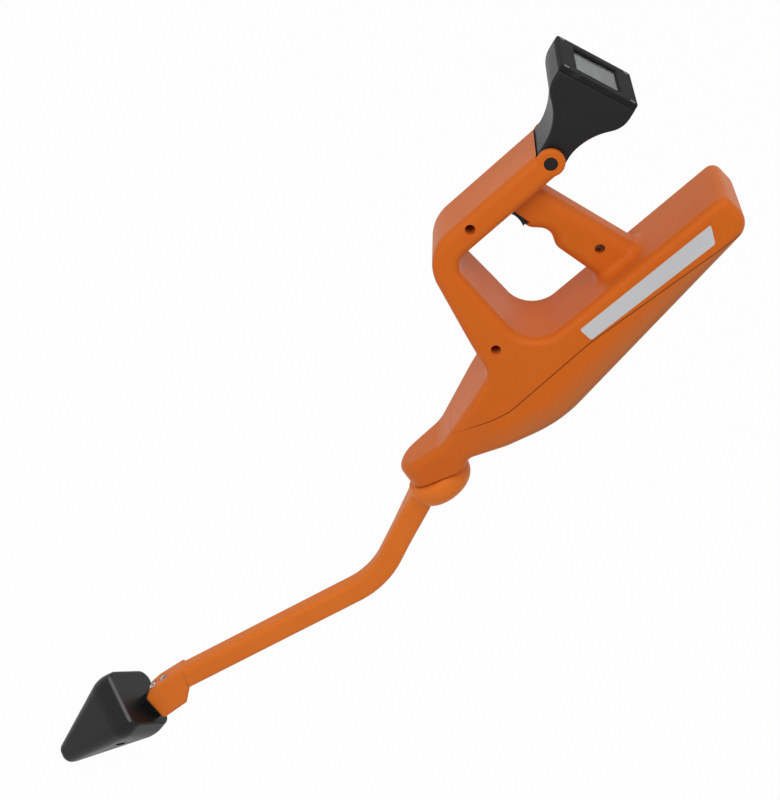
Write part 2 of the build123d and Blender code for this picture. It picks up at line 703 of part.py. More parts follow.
export_step(belly_pan.part, "parts/belly_pan.step")

with BuildPart() as pan_screws:
    for y, z in PAN_SCREWS:
        seat = pan_screw_plane(y, z)
        screw(seat, SHELL_SCREW_HEAD, SCREW_HEAD_THICK, SHELL_SCREW, PAN_SCREW_FLOOR + PAN_SCREW_BITE)
pan_screws.part.label = "pan_screws"
export_step(pan_screws.part, "parts/pan_screws.step")

# Battery door, flush with the belly, with a finger pull at its lower end
with BuildPart() as battery_door:
    with BuildSketch(DOOR_FACE.offset(-WALL)):
        RectangleRounded(DOOR_LENGTH - 2 * DOOR_GAP, DOOR_WIDTH - 2 * DOOR_GAP, DOOR_CORNER - DOOR_GAP)
    extrude(amount=WALL)
    with BuildSketch(DOOR_FACE):
        with Locations((DOOR_PULL_RADIUS + DOOR_LEDGE - DOOR_LENGTH / 2, 0)):
            SlotOverall(4 * DOOR_PULL_RADIUS, 2 * DOOR_PULL_RADIUS, rotation=90)
    extrude(amount=-DOOR_PULL_DEPTH, mode=Mode.SUBTRACT)
    rod(DOOR_SCREW_FACE, SMALL_SCREW + DOOR_GAP, -WALL, 0, Mode.SUBTRACT)
    rod(DOOR_SCREW_FACE, SMALL_SCREW_HEAD + DOOR_GAP, 0, WALL, Mode.SUBTRACT)
battery_door.part.label = "battery_door"
export_step(battery_door.part, "parts/battery_door.step")

with BuildPart() as door_screw:
    screw(DOOR_SCREW_FACE, SMALL_SCREW_HEAD, SMALL_HEAD_THICK, SMALL_SCREW, SMALL_SCREW_LENGTH)
door_screw.part.label = "door_screw"
export_step(door_screw.part, "parts/door_screw.step")

# Battery tray, an open box against the inside of the bay's rim
with BuildPart() as battery_tray:
    with BuildSketch(DOOR_FACE.offset(BAY_MOUTH)):
        Rectangle(BAY_LENGTH + 2 * TRAY_WALL, 2 * (BAY_HALF_WIDTH + TRAY_WALL))
    extrude(amount=-BAY_DEPTH - TRAY_WALL)
    with BuildSketch(DOOR_FACE.offset(BAY_MOUTH)):
        Rectangle(BAY_LENGTH, 2 * BAY_HALF_WIDTH)
    extrude(amount=-BAY_DEPTH, mode=Mode.SUBTRACT)
battery_tray.part.label = "battery_tray"
export_step(battery_tray.part, "parts/battery_tray.step")

# Four cells, two by two, lying on the tray's floor
CELL_AXIS = Plane(DOOR_FACE.origin, x_dir=DOOR_FACE.z_dir, z_dir=DOOR_FACE.x_dir)
with BuildPart() as battery_cells:
    for start in (-CELL_LENGTH, 0):
        with BuildSketch(CELL_AXIS.offset(start)):
            with Locations((BAY_MOUTH - BAY_DEPTH + CELL_RADIUS, 0)):
                with GridLocations(0, 2 * CELL_RADIUS + CELL_GAP, 1, 2):
                    Circle(CELL_RADIUS)
        extrude(amount=CELL_LENGTH - CELL_NUB_HEIGHT)
        with BuildSketch(CELL_AXIS.offset(start + CELL_LENGTH - CELL_NUB_HEIGHT)):
            with Locations((BAY_MOUTH - BAY_DEPTH + CELL_RADIUS, 0)):
                with GridLocations(0, 2 * CELL_RADIUS + CELL_GAP, 1, 2):
                    Circle(CELL_NUB)
        extrude(amount=CELL_NUB_HEIGHT)
battery_cells.part.label = "battery_cells"
export_step(battery_cells.part, "parts/battery_cells.step")

with BuildPart() as battery_contacts:
    for start in (-BAY_LENGTH / 2, BAY_LENGTH / 2 - CONTACT_THICK):
        with BuildSketch(CELL_AXIS.offset(start)):
            with Locations((BAY_MOUTH - BAY_DEPTH, 0)):
                Rectangle(
                    BAY_DEPTH - CELL_GAP, 2 * BAY_HALF_WIDTH - CELL_GAP, align=(Align.MIN, Align.CENTER)
                )
        extrude(amount=CONTACT_THICK)
battery_contacts.part.label = "battery_contacts"
export_step(battery_contacts.part, "parts/battery_contacts.step")

# Main board on its posts behind the body's front wall, with the sounder on its back
with BuildPart() as main_board:
    with BuildSketch(BODY_FACE.offset(WALL + BOARD_STANDOFF)):
        with Locations(((BOARD_TOP + BOARD_BOTTOM) / 2, 0)):
            RectangleRounded(BOARD_TOP - BOARD_BOTTOM, 2 * BOARD_HALF_WIDTH, BOARD_POST)
    extrude(amount=BOARD_THICK)
main_board.part.label = "main_board"
export_step(main_board.part, "parts/main_board.step")

with BuildPart() as sounder:
    with BuildSketch(BODY_FACE.offset(WALL + BOARD_STANDOFF + BOARD_THICK)):
        with Locations((SOUNDER_RISE, 0)):
            Circle(SOUNDER_RADIUS)
    extrude(amount=SOUNDER_THICK)
    fillet(sounder.edges().filter_by(GeomType.CIRCLE).sort_by(Axis.X)[-1], BOARD_THICK)
sounder.part.label = "sounder"
export_step(sounder.part, "parts/sounder.step")

# Trigger: a curved finger lever on a cross pin in the grip
TRIGGER_FRONT = limb_rear_x(NOTCH_Z) + TRIGGER_GAP
TRIGGER_BACK = NOTCH_REAR - TRIGGER_REAR_GAP
TRIGGER_TOP = TRIGGER_PIVOT_Z + TRIGGER_HUB
with BuildPart() as trigger:
    with BuildSketch(Plane.XZ):
        with BuildLine():
            Polyline(
                (TRIGGER_TIP, TRIGGER_TIP_Z),
                (TRIGGER_FRONT, NOTCH_Z),
                (TRIGGER_FRONT, TRIGGER_TOP),
                (TRIGGER_PIVOT_X, TRIGGER_TOP),
                (TRIGGER_PIVOT_X, NOTCH_Z + WALL + TRIGGER_REAR_GAP),
                (TRIGGER_BACK, NOTCH_Z + WALL + TRIGGER_REAR_GAP),
                (TRIGGER_BACK, -TRIGGER_REACH),
            )
            ThreePointArc(
                (TRIGGER_BACK, -TRIGGER_REACH),
                ((TRIGGER_BACK + TRIGGER_TIP) / 2, (TRIGGER_TIP_Z - TRIGGER_REACH) / 2 + TRIGGER_HOLLOW),
                (TRIGGER_TIP, TRIGGER_TIP_Z),
            )
        make_face()
        with Locations((TRIGGER_PIVOT_X, TRIGGER_PIVOT_Z)):
            Circle(TRIGGER_HUB)
    extrude(amount=TRIGGER_HALF, both=True)
    finger_edges = trigger.edges().filter_by_position(Axis.Z, -2 * TRIGGER_REACH, NOTCH_Z)
    fillet(finger_edges.filter_by(Axis.Y, reverse=True), TRIGGER_EDGE)
    rod(TRIGGER_CROSS, TRIGGER_PIN + RUNNING_GAP, -GRIP_HALF, GRIP_HALF, Mode.SUBTRACT)
trigger.part.label = "trigger"
export_step(trigger.part, "parts/trigger.step")

with BuildPart() as trigger_pin:
    rod(TRIGGER_CROSS, TRIGGER_PIN, WALL - GRIP_HALF, GRIP_HALF - WALL)
trigger_pin.part.label = "trigger_pin"
export_step(trigger_pin.part, "parts/trigger_pin.step")

with BuildPart() as trigger_spring:
    spring_head = GRIP_TOP + SPRING_X * tan(radians(GRIP_TILT)) - WALL
    spring_foot = TRIGGER_TOP + GAP
    ring(Plane((SPRING_X, 0, 0)), SPRING_RADIUS, SPRING_RADIUS - SPRING_WIRE, spring_foot, spring_head - GAP)
trigger_spring.part.label = "trigger_spring"
export_step(trigger_spring.part, "parts/trigger_spring.step")

with BuildPart() as trigger_switch:
    with BuildSketch(SWITCH_CROSS.offset(-SWITCH_HALF)):
        RectangleRounded(SWITCH_LENGTH, SWITCH_HEIGHT, SWITCH_PEG / 2)
    extrude(amount=2 * SWITCH_HALF)
trigger_switch.part.label = "trigger_switch"
export_step(trigger_switch.part, "parts/trigger_switch.step")

# Tilt hinge: the cross pin, and a friction washer inside each ear
with BuildPart() as head_pin:
    rod(PIN_CROSS, HINGE_PIN, PIN_SINK - EAR_FACE, EAR_FACE - PIN_SINK)
    chamfer(head_pin.edges().filter_by(GeomType.CIRCLE), PIN_SINK)
head_pin.part.label = "head_pin"
export_step(head_pin.part, "parts/head_pin.step")

with BuildPart() as hinge_washers:
    for side in (-1, 1):
        ring(PIN_CROSS, WASHER_RADIUS, HINGE_PIN, side * (EAR_INNER - WASHER_THICK), side * EAR_INNER)
hinge_washers.part.label = "hinge_washers"
export_step(hinge_washers.part, "parts/hinge_washers.step")

# Display head: a bell that flares from the neck to the rim, hollowed from the top
NECK_HALF = EAR_INNER - WASHER_THICK - GAP
HINGE_BUSH = HINGE_PIN + RUNNING_GAP + BUSH_WALL
HEAD_FACE = plan_of(HEAD_FRAME)
HEAD_FACE_AXIS = Axis(HEAD_FACE.origin, HEAD_FACE.z_dir)
BEZEL_SEAT = HEAD_TOP - BEZEL_THICK
SHELL_TOP = BEZEL_SEAT - GASKET_THICK
WINDOW_SEAT_DEPTH = WINDOW_HALF_DEPTH + WINDOW_LIP
WINDOW_SEAT_WIDTH = WINDOW_HALF_WIDTH + WINDOW_LIP
POCKET_FLOOR = SHELL_TOP - POCKET_DEPTH
BOARD_SEAT = POCKET_FLOOR + HEAD_BOARD_RISE
FLARE_TURN = 2 * atan2(HEAD_HALF_DEPTH - NECK_RADIUS, FLARE_END - NECK_TOP)
SHOULDER_FLARE = (FLARE_END - NECK_TOP) / sin(FLARE_TURN) - NECK_FLARE
with BuildPart() as head_shell:
    with BuildSketch(HEAD_FRAME):
        with BuildLine():
            neck = Line((NECK_RADIUS, 0), (NECK_RADIUS, NECK_TOP))
            flare = JernArc(neck @ 1, neck % 1, NECK_FLARE, -degrees(FLARE_TURN))
            shoulder = JernArc(flare @ 1, flare % 1, SHOULDER_FLARE, degrees(FLARE_TURN))
            Polyline(shoulder @ 1, (HEAD_HALF_DEPTH, SHELL_TOP), (0, SHELL_TOP))
            CenterArc((0, 0), NECK_RADIUS, -90, 90)
            mirror(about=Plane.YZ)
        make_face()
    extrude(amount=2 * HEAD_HALF_WIDTH, both=True)
    with BuildSketch(front_of(HEAD_FRAME)):
        with BuildLine():
            FilletPolyline(
                (-2 * NECK_RADIUS, NECK_HALF),
                (NECK_STRAIGHT, NECK_HALF),
                (SHOULDER_RISE, HEAD_HALF_WIDTH),
                (HEAD_TOP, HEAD_HALF_WIDTH),
                radius=SHOULDER_ROUND,
            )
            FilletPolyline(
                (-2 * NECK_RADIUS, -NECK_HALF),
                (NECK_STRAIGHT, -NECK_HALF),
                (SHOULDER_RISE, -HEAD_HALF_WIDTH),
                (HEAD_TOP, -HEAD_HALF_WIDTH),
                radius=SHOULDER_ROUND,
            )
            Line((-2 * NECK_RADIUS, NECK_HALF), (-2 * NECK_RADIUS, -NECK_HALF))
            Line((HEAD_TOP, HEAD_HALF_WIDTH), (HEAD_TOP, -HEAD_HALF_WIDTH))
        make_face()
    extrude(amount=2 * HEAD_HALF_DEPTH, both=True, mode=Mode.INTERSECT)
    rim = edges_by_turn(head_shell.part, RIM_TURN)
    below_rim = rim.filter_by(lambda edge: HEAD_FACE.to_local_coords(edge @ 0.5).Z < SHELL_TOP - HEAD_EDGE)
    fillet(below_rim, HEAD_EDGE)
    with BuildSketch(HEAD_FACE.offset(SHELL_TOP)):
        RectangleRounded(2 * POCKET_HALF_DEPTH, 2 * POCKET_HALF_WIDTH, POCKET_CORNER)
    extrude(amount=-POCKET_DEPTH, mode=Mode.SUBTRACT)
    with BuildSketch(HEAD_FACE.offset(POCKET_FLOOR)):
        with four_corners(POCKET_HALF_DEPTH - HEAD_PILLAR_INSET, POCKET_HALF_WIDTH - HEAD_PILLAR_INSET):
            Circle(HEAD_PILLAR)
    extrude(amount=HEAD_BOARD_RISE)
    with BuildSketch(HEAD_FACE.offset(SHELL_TOP)):
        with four_corners(BEZEL_SCREW_DEPTH, BEZEL_SCREW_WIDTH):
            Circle(SMALL_SCREW)
    extrude(amount=-SMALL_SCREW_LENGTH, mode=Mode.SUBTRACT)
    rod(PIN_CROSS, HINGE_BUSH, -HEAD_HALF_WIDTH, HEAD_HALF_WIDTH, Mode.SUBTRACT)
    rod(HEAD_FACE, HEAD_WIRE_HOLE, 0, POCKET_FLOOR, Mode.SUBTRACT)
head_shell.part.label = "head_shell"
export_step(head_shell.part, "parts/head_shell.step")

with BuildPart() as hinge_bushes:
    for side in (-1, 1):
        bush_end = side * (NECK_HALF - BUSH_LENGTH)
        ring(PIN_CROSS, HINGE_BUSH, HINGE_PIN + RUNNING_GAP, bush_end, side * NECK_HALF)
hinge_bushes.part.label = "hinge_bushes"
export_step(hinge_bushes.part, "parts/hinge_bushes.step")

with BuildPart() as head_board:
    with BuildSketch(HEAD_FACE.offset(BOARD_SEAT)):
        RectangleRounded(
            2 * (POCKET_HALF_DEPTH - BOARD_MARGIN), 2 * (POCKET_HALF_WIDTH - BOARD_MARGIN), POCKET_CORNER
        )
    extrude(amount=BOARD_THICK)
head_board.part.label = "head_board"
export_step(head_board.part, "parts/head_board.step")

with BuildPart() as lcd_module:
    with BuildSketch(HEAD_FACE.offset(BOARD_SEAT + BOARD_THICK)):
        Rectangle(2 * (WINDOW_HALF_DEPTH + LCD_MARGIN), 2 * (WINDOW_HALF_WIDTH + LCD_MARGIN))
    extrude(amount=HEAD_TOP - WINDOW_RECESS - WINDOW_THICK - BOARD_SEAT - BOARD_THICK)
lcd_module.part.label = "lcd_module"
export_step(lcd_module.part, "parts/lcd_module.step")

with BuildPart() as display_window:
    with BuildSketch(HEAD_FACE.offset(HEAD_TOP - WINDOW_RECESS)):
        RectangleRounded(2 * WINDOW_SEAT_DEPTH, 2 * WINDOW_SEAT_WIDTH, WINDOW_LIP / 2)
    extrude(amount=-WINDOW_THICK)
display_window.part.label = "display_window"
export_step(display_window.part, "parts/display_window.step")

with BuildPart() as bezel_gasket:
    with BuildSketch(HEAD_FACE.offset(SHELL_TOP)):
        RectangleRounded(
            2 * (HEAD_HALF_DEPTH - GASKET_INSET), 2 * (HEAD_HALF_WIDTH - GASKET_INSET), HEAD_CORNER
        )
        RectangleRounded(2 * POCKET_HALF_DEPTH, 2 * POCKET_HALF_WIDTH, POCKET_CORNER, mode=Mode.SUBTRACT)
        with four_corners(BEZEL_SCREW_DEPTH, BEZEL_SCREW_WIDTH):
            Circle(SMALL_SCREW, mode=Mode.SUBTRACT)
    extrude(amount=GASKET_THICK)
bezel_gasket.part.label = "bezel_gasket"
export_step(bezel_gasket.part, "parts/bezel_gasket.step")

# Rim plate of the head, with the window let in from below
with BuildPart() as head_bezel:
    with BuildSketch(HEAD_FACE.offset(BEZEL_SEAT)):
        RectangleRounded(2 * HEAD_HALF_DEPTH, 2 * HEAD_HALF_WIDTH, HEAD_CORNER)
    extrude(amount=BEZEL_THICK)
    fillet(head_bezel.faces().sort_by(HEAD_FACE_AXIS)[-1].edges(), BEZEL_EDGE)
    with BuildSketch(HEAD_FACE.offset(HEAD_TOP)):
        Rectangle(2 * WINDOW_HALF_DEPTH, 2 * WINDOW_HALF_WIDTH)
    extrude(amount=-BEZEL_THICK, mode=Mode.SUBTRACT)
    chamfer(head_bezel.edges(Select.LAST).group_by(HEAD_FACE_AXIS)[-1], WINDOW_SLOPE)
    with BuildSketch(HEAD_FACE.offset(BEZEL_SEAT)):
        RectangleRounded(2 * WINDOW_SEAT_DEPTH, 2 * WINDOW_SEAT_WIDTH, WINDOW_LIP / 2)
    extrude(amount=BEZEL_THICK - WINDOW_RECESS, mode=Mode.SUBTRACT)
    with BuildSketch(HEAD_FACE.offset(BEZEL_SEAT)):
        with four_corners(BEZEL_SCREW_DEPTH, BEZEL_SCREW_WIDTH):
            Circle(SMALL_SCREW)
    extrude(amount=BEZEL_THICK, mode=Mode.SUBTRACT)
    with BuildSketch(HEAD_FACE.offset(HEAD_TOP)):
        with four_corners(BEZEL_SCREW_DEPTH, BEZEL_SCREW_WIDTH):
            Circle(SMALL_SCREW_HEAD + RUNNING_GAP)
    extrude(amount=-SMALL_HEAD_THICK, mode=Mode.SUBTRACT)
head_bezel.part.label = "head_bezel"
export_step(head_bezel.part, "parts/head_bezel.step")

with BuildPart() as bezel_screws:
    for depth_side in (-1, 1):
        for width_side in (-1, 1):
            screw_depth, screw_width = depth_side * BEZEL_SCREW_DEPTH, width_side * BEZEL_SCREW_WIDTH
            seat = shifted(HEAD_FACE, screw_depth, screw_width, HEAD_TOP - SMALL_HEAD_THICK)
            screw(seat, SMALL_SCREW_HEAD, SMALL_HEAD_THICK, SMALL_SCREW, SMALL_SCREW_LENGTH)
bezel_screws.part.label = "bezel_screws"
export_step(bezel_screws.part, "parts/bezel_screws.step")

# Swivel: a flanged bush in the boss, and a bored spindle held by a washer and a nut
SEAT_FACE = SWIVEL_FACE.offset(-SWIVEL_SEAT - GAP)
NUT_FACE = SEAT_FACE.offset(-SWIVEL_WASHER_THICK)
with BuildPart() as swivel_bush:
    ring(SWIVEL_FACE, SWIVEL_BUSH, SPINDLE_RADIUS + RUNNING_GAP, -SWIVEL_SEAT, 0)
    ring(SWIVEL_FACE, BUSH_FLANGE_RADIUS, SPINDLE_RADIUS + RUNNING_GAP, 0, BUSH_FLANGE)
swivel_bush.part.label = "swivel_bush"
export_step(swivel_bush.part, "parts/swivel_bush.step")

with BuildPart() as swivel_spindle:
    spindle_length = SWIVEL_SEAT + GAP + SWIVEL_WASHER_THICK + SWIVEL_NUT_THICK + SPINDLE_END
    ring(SWIVEL_FACE, SPINDLE_RADIUS, SPINDLE_BORE, -spindle_length, SPINDLE_DEPTH)
swivel_spindle.part.label = "swivel_spindle"
export_step(swivel_spindle.part, "parts/swivel_spindle.step")

with BuildPart() as swivel_washer:
    ring(SEAT_FACE, SWIVEL_WASHER_RADIUS, SPINDLE_RADIUS, -SWIVEL_WASHER_THICK, 0)
swivel_washer.part.label = "swivel_washer"
export_step(swivel_washer.part, "parts/swivel_washer.step")

with BuildPart() as swivel_nut:
    with BuildSketch(NUT_FACE):
        RegularPolygon(SWIVEL_NUT_FLATS / 2, 6, major_radius=False)
        Circle(SPINDLE_RADIUS, mode=Mode.SUBTRACT)
    extrude(amount=-SWIVEL_NUT_THICK)
swivel_nut.part.label = "swivel_nut"
export_step(swivel_nut.part, "parts/swivel_nut.step")

# Antenna arm: a round lobe on the spindle, a bent bar with a wire channel, and a fork for the foot
LOBE_FLOOR = BUSH_FLANGE + GAP
ARM_FRONT = ARM_END_OFF - ARM_DEPTH / 2
ARM_REAR = ARM_END_OFF + ARM_DEPTH / 2
ARM_SLOPE = (ARM_BEND_DROP - ARM_ROOT_DROP) / (ARM_OFF - ARM_ROOT_OFF)
WIRE_TURN = ARM_ROOT_DROP + (SPINDLE_DEPTH - ARM_ROOT_OFF) * ARM_SLOPE
FORK_FRONT = ARM_FRONT + FORK_SLOPE
FORK_SEAT = FORK_FRONT + FORK_SCREW_SEAT
FORK_BACK = ARM_END_OFF + FORK_HEEL


def fork_screw_plane(drop):
    """Seat of a fork screw's head, facing the front of the arm."""
    seat = SWIVEL_FACE.from_local_coords((-drop, 0, FORK_SEAT))
    return Plane(seat, x_dir=SWIVEL_FACE.x_dir, z_dir=-SWIVEL_FACE.z_dir)


with BuildPart() as arm_bar:
    with BuildSketch(SWIVEL_FRAME):
        with BuildLine():
            FilletPolyline(
                (ARM_ROOT_OFF, -ARM_ROOT_DROP),
                (ARM_OFF, -ARM_BEND_DROP),
                (ARM_END_OFF, -FORK_SLOT_TOP),
                radius=ARM_BEND_ROUND,
            )
        trace(line_width=ARM_DEPTH)
    extrude(amount=ARM_ROOT_HALF, both=True)
    with BuildSketch(SWIVEL_FACE):
        with BuildLine():
            for half, root_half in ((ARM_HALF, ARM_ROOT_HALF), (-ARM_HALF, -ARM_ROOT_HALF)):
                FilletPolyline(
                    (0, root_half), (-ARM_ROOT_END, half), (-FORK_DROP, half), radius=ARM_ROOT_ROUND
                )
            Line((0, ARM_ROOT_HALF), (0, -ARM_ROOT_HALF))
            Line((-FORK_DROP, ARM_HALF), (-FORK_DROP, -ARM_HALF))
        make_face()
    extrude(amount=2 * ARM_OFF, both=True, mode=Mode.INTERSECT)
    fillet(edges_by_turn(arm_bar.part, RIM_TURN), ARM_EDGE)

with BuildPart() as arm_fork:
    with BuildSketch(SWIVEL_FRAME) as cheek:
        Polygon(
            (ARM_FRONT, -FORK_TOP),
            (FORK_FRONT, FORK_LIP - FORK_DROP),
            (FORK_FRONT + FORK_CHIN, FORK_CUT - FORK_DROP),
            (ARM_FRONT + FORK_TOE, -FORK_DROP),
            (FORK_BACK, -FORK_DROP),
            (FORK_BACK - FORK_HEEL_STEP, FORK_HEEL_RISE - FORK_DROP),
            (ARM_REAR, -FORK_REAR_TOP),
            align=None,
        )
        fillet(cheek.vertices(), FORK_ROUND)
    extrude(amount=FORK_HALF, both=True)
    fork_sides = arm_fork.faces().sort_by(Axis.Y)
    fillet(fork_sides[0].edges() + fork_sides[-1].edges(), FORK_EDGE)

with BuildPart() as antenna_arm:
    with BuildSketch(SWIVEL_FRAME):
        with BuildLine():
            TangentArc((LOBE_RISE, LOBE_RADIUS), (LOBE_FLOOR, LOBE_FACE_RADIUS), tangent=(-1, 0))
            FilletPolyline(
                (LOBE_RISE, LOBE_RADIUS), (LOBE_DEPTH, LOBE_RADIUS), (LOBE_DEPTH, 0), radius=LOBE_CROWN
            )
            Polyline((LOBE_DEPTH, 0), (LOBE_FLOOR, 0), (LOBE_FLOOR, LOBE_FACE_RADIUS))
        make_face()
    revolve(axis=Axis(SWIVEL_FACE.origin, SWIVEL_FACE.z_dir))
    add(arm_bar.part)
    add(arm_fork.part)
    rod(SWIVEL_FACE, 2 * LOBE_RADIUS, -LOBE_DEPTH, LOBE_FLOOR, Mode.SUBTRACT)
    rod(SWIVEL_FACE, SPINDLE_RADIUS, 0, SPINDLE_DEPTH, Mode.SUBTRACT)
    with BuildSketch(SWIVEL_FRAME):
        with BuildLine():
            FilletPolyline(
                (SPINDLE_DEPTH, 0),
                (SPINDLE_DEPTH, -WIRE_TURN),
                (ARM_OFF, -ARM_BEND_DROP),
                (ARM_END_OFF, -FORK_SLOT_TOP - ARM_WIRE),
                radius=[ARM_WIRE_ROUND, ARM_BEND_ROUND],
            )
        trace(line_width=ARM_WIRE)
    extrude(amount=ARM_WIRE / 2, both=True, mode=Mode.SUBTRACT)
    with BuildSketch(SWIVEL_FRAME):
        with Locations((FORK_FRONT + FORK_WALL, -FORK_SLOT_TOP)):
            Rectangle(2 * FORK_HEEL, 2 * FORK_HEEL_RISE, align=(Align.MIN, Align.MAX))
    extrude(amount=FORK_SLOT_HALF, both=True, mode=Mode.SUBTRACT)
    for drop in FORK_SCREW_DROPS:
        rod(fork_screw_plane(drop), SHELL_SCREW_HEAD + GAP, 0, FORK_HEEL, Mode.SUBTRACT)
        rod(fork_screw_plane(drop), SHELL_SCREW, -FORK_SCREW_LENGTH, 0, Mode.SUBTRACT)
antenna_arm.part.label = "antenna_arm"
export_step(antenna_arm.part, "parts/antenna_arm.step")

with BuildPart() as fork_screws:
    for drop in FORK_SCREW_DROPS:
        screw(fork_screw_plane(drop), SHELL_SCREW_HEAD, SCREW_HEAD_THICK, SHELL_SCREW, FORK_SCREW_LENGTH)
fork_screws.part.label = "fork_screws"
export_step(fork_screws.part, "parts/fork_screws.step")

# Tang that joins the foot to the fork: a block in the fork and a tongue down into the foot
PEG_CROSS = cross_plane(*spot(FOOT_FRAME, TANG_HOLE_ACROSS, -TANG_HOLE_DROP))
with BuildPart() as foot_tang:
    with BuildSketch(SWIVEL_FRAME):
        with Locations((FORK_FRONT + FORK_WALL + TANG_GAP, -FORK_SLOT_TOP - TANG_GAP)):
            Rectangle(TANG_REAR - TANG_FRONT, FORK_HEEL_RISE + FORK_ROUND, align=(Align.MIN, Align.MAX))
    extrude(amount=FORK_SLOT_HALF - TANG_GAP, both=True)
    with BuildSketch(FOOT_FRAME):
        Polygon(
            (TANG_FRONT, TANG_RISE),
            (TANG_REAR, TANG_RISE),
            (TANG_REAR, -TANG_HOLE_DROP),
            (TANG_HOLE_ACROSS + TANG_HOLE, -TANG_DEPTH),
            (TANG_HOLE_ACROSS - TANG_HOLE, -TANG_DEPTH),
            (TANG_FRONT, -TANG_HOLE_DROP),
            align=None,
        )
    extrude(amount=FORK_SLOT_HALF - TANG_GAP, both=True)
    rod(PEG_CROSS, TANG_HOLE, -FORK_HALF, FORK_HALF, Mode.SUBTRACT)
    for drop in FORK_SCREW_DROPS:
        rod(fork_screw_plane(drop), SHELL_SCREW, -FORK_SCREW_LENGTH, 0, Mode.SUBTRACT)
foot_tang.part.label = "foot_tang"
export_step(foot_tang.part, "parts/foot_tang.step")


FOOT_STAGES = [
    (0, FOOT_SIDE, FOOT_CORNER),
    (FOOT_SHOULDER_DEPTH, FOOT_SHOULDER_SIDE, FOOT_SHOULDER_CORNER),
    (FOOT_HEIGHT, FOOT_TIP_SIDE, FOOT_TIP_CORNER),
]


def foot_section(depth, inset):
    """Square cross-section of the foot, corner to the front, at a depth below its top."""
    upper, lower = FOOT_STAGES[:2] if depth < FOOT_SHOULDER_DEPTH else FOOT_STAGES[1:]
    share = (depth - upper[0]) / (lower[0] - upper[0])
    side = upper[1] + (lower[1] - upper[1]) * share - 2 * inset
    corner = upper[2] + (lower[2] - upper[2]) * share - inset
    with BuildSketch(plan_of(FOOT_FRAME).offset(-depth)) as section:
        RectangleRounded(side, side, corner, rotation=45)
    return section.sketch


# Foot: a pyramid with a soft shoulder and a round tip, hollow, with coil ribs, tang pegs and a screw boss
FOOT_AXIS = plan_of(FOOT_FRAME)
COIL_END = CORE_TOP + CORE_LENGTH
CLAMP_CROSS = cross_plane(*spot(FOOT_FRAME, FOOT_SCREW_ACROSS, -FOOT_SCREW_DROP))
foot_sections = [foot_section(depth, 0) for depth in (0, FOOT_SHOULDER_DEPTH, FOOT_HEIGHT)]
cavity_sections = [
    foot_section(depth, FOOT_WALL) for depth in (FOOT_WALL, FOOT_SHOULDER_DEPTH, FOOT_CAVITY_DEPTH)
]
with BuildPart() as foot_form:
    loft(foot_sections, ruled=True)
    fillet(edges_on(foot_form.part, FOOT_AXIS.offset(-FOOT_SHOULDER_DEPTH), FOOT_SIDE), FOOT_SHOULDER_ROUND)
    ends = foot_form.faces().sort_by(Axis(FOOT_AXIS.origin, FOOT_AXIS.z_dir))
    fillet(ends[0].edges(), FOOT_TIP_ROUND)
    fillet(ends[-1].edges(), FOOT_TOP_EDGE)

with BuildPart() as foot_cavity:
    loft(cavity_sections, ruled=True)
    for start in (CORE_TOP, COIL_END - FOOT_RIB):
        with BuildSketch(FOOT_AXIS.offset(-start)):
            Rectangle(2 * FOOT_SIDE, 2 * FOOT_SIDE)
            Circle(BOBBIN_FLANGE, mode=Mode.SUBTRACT)
        extrude(amount=-FOOT_RIB, mode=Mode.SUBTRACT)
    rod(CLAMP_CROSS, FOOT_BOSS, -FOOT_SIDE, FOOT_SIDE, Mode.SUBTRACT)
    for side in (-1, 1):
        rod(PEG_CROSS, TANG_HOLE + PEG_BOSS, side * FORK_SLOT_HALF, side * FOOT_SIDE, Mode.SUBTRACT)

with BuildPart() as foot_body:
    add(foot_form.part)
    add(foot_cavity.part, mode=Mode.SUBTRACT)
    with BuildSketch(FOOT_FRAME):
        with Locations(((TANG_FRONT + TANG_REAR) / 2, 0)):
            Rectangle(TANG_REAR - TANG_FRONT + 2 * TANG_GAP, 2 * TANG_HOLE_DROP)
    extrude(amount=FORK_SLOT_HALF, both=True, mode=Mode.SUBTRACT)
    rod(PEG_CROSS, TANG_HOLE - TANG_GAP, -FORK_HALF, FORK_HALF)
    rod(CLAMP_CROSS, SCREW_WELL, -FOOT_SIDE, -FOOT_SCREW_SEAT, Mode.SUBTRACT)
    rod(CLAMP_CROSS, SHELL_SCREW + GAP, -FOOT_SCREW_SEAT, 0, Mode.SUBTRACT)
    rod(CLAMP_CROSS, SHELL_SCREW, 0, FOOT_SCREW_BITE, Mode.SUBTRACT)

for name, keep in (("foot_left_shell", Keep.TOP), ("foot_right_shell", Keep.BOTTOM)):
    with BuildPart() as half_foot:
        add(foot_body.part)
        split(bisect_by=Plane.XZ, keep=keep)
    half_foot.part.label = name
    export_step(half_foot.part, f"parts/{name}.step")

with BuildPart() as foot_clamp_screw:
    clamp_seat = Plane(CLAMP_CROSS.offset(-FOOT_SCREW_SEAT).origin, x_dir=(1, 0, 0), z_dir=(0, -1, 0))
    screw(clamp_seat, SHELL_SCREW_HEAD, SCREW_HEAD_THICK, SHELL_SCREW, FOOT_SCREW_SEAT + FOOT_SCREW_BITE)
foot_clamp_screw.part.label = "foot_clamp_screw"
export_step(foot_clamp_screw.part, "parts/foot_clamp_screw.step")

# Pick-up coil on a ferrite core, upright in the foot
with BuildPart() as antenna_core:
    rod(FOOT_AXIS, CORE_RADIUS, -COIL_END, -CORE_TOP)
antenna_core.part.label = "antenna_core"
export_step(antenna_core.part, "parts/antenna_core.step")

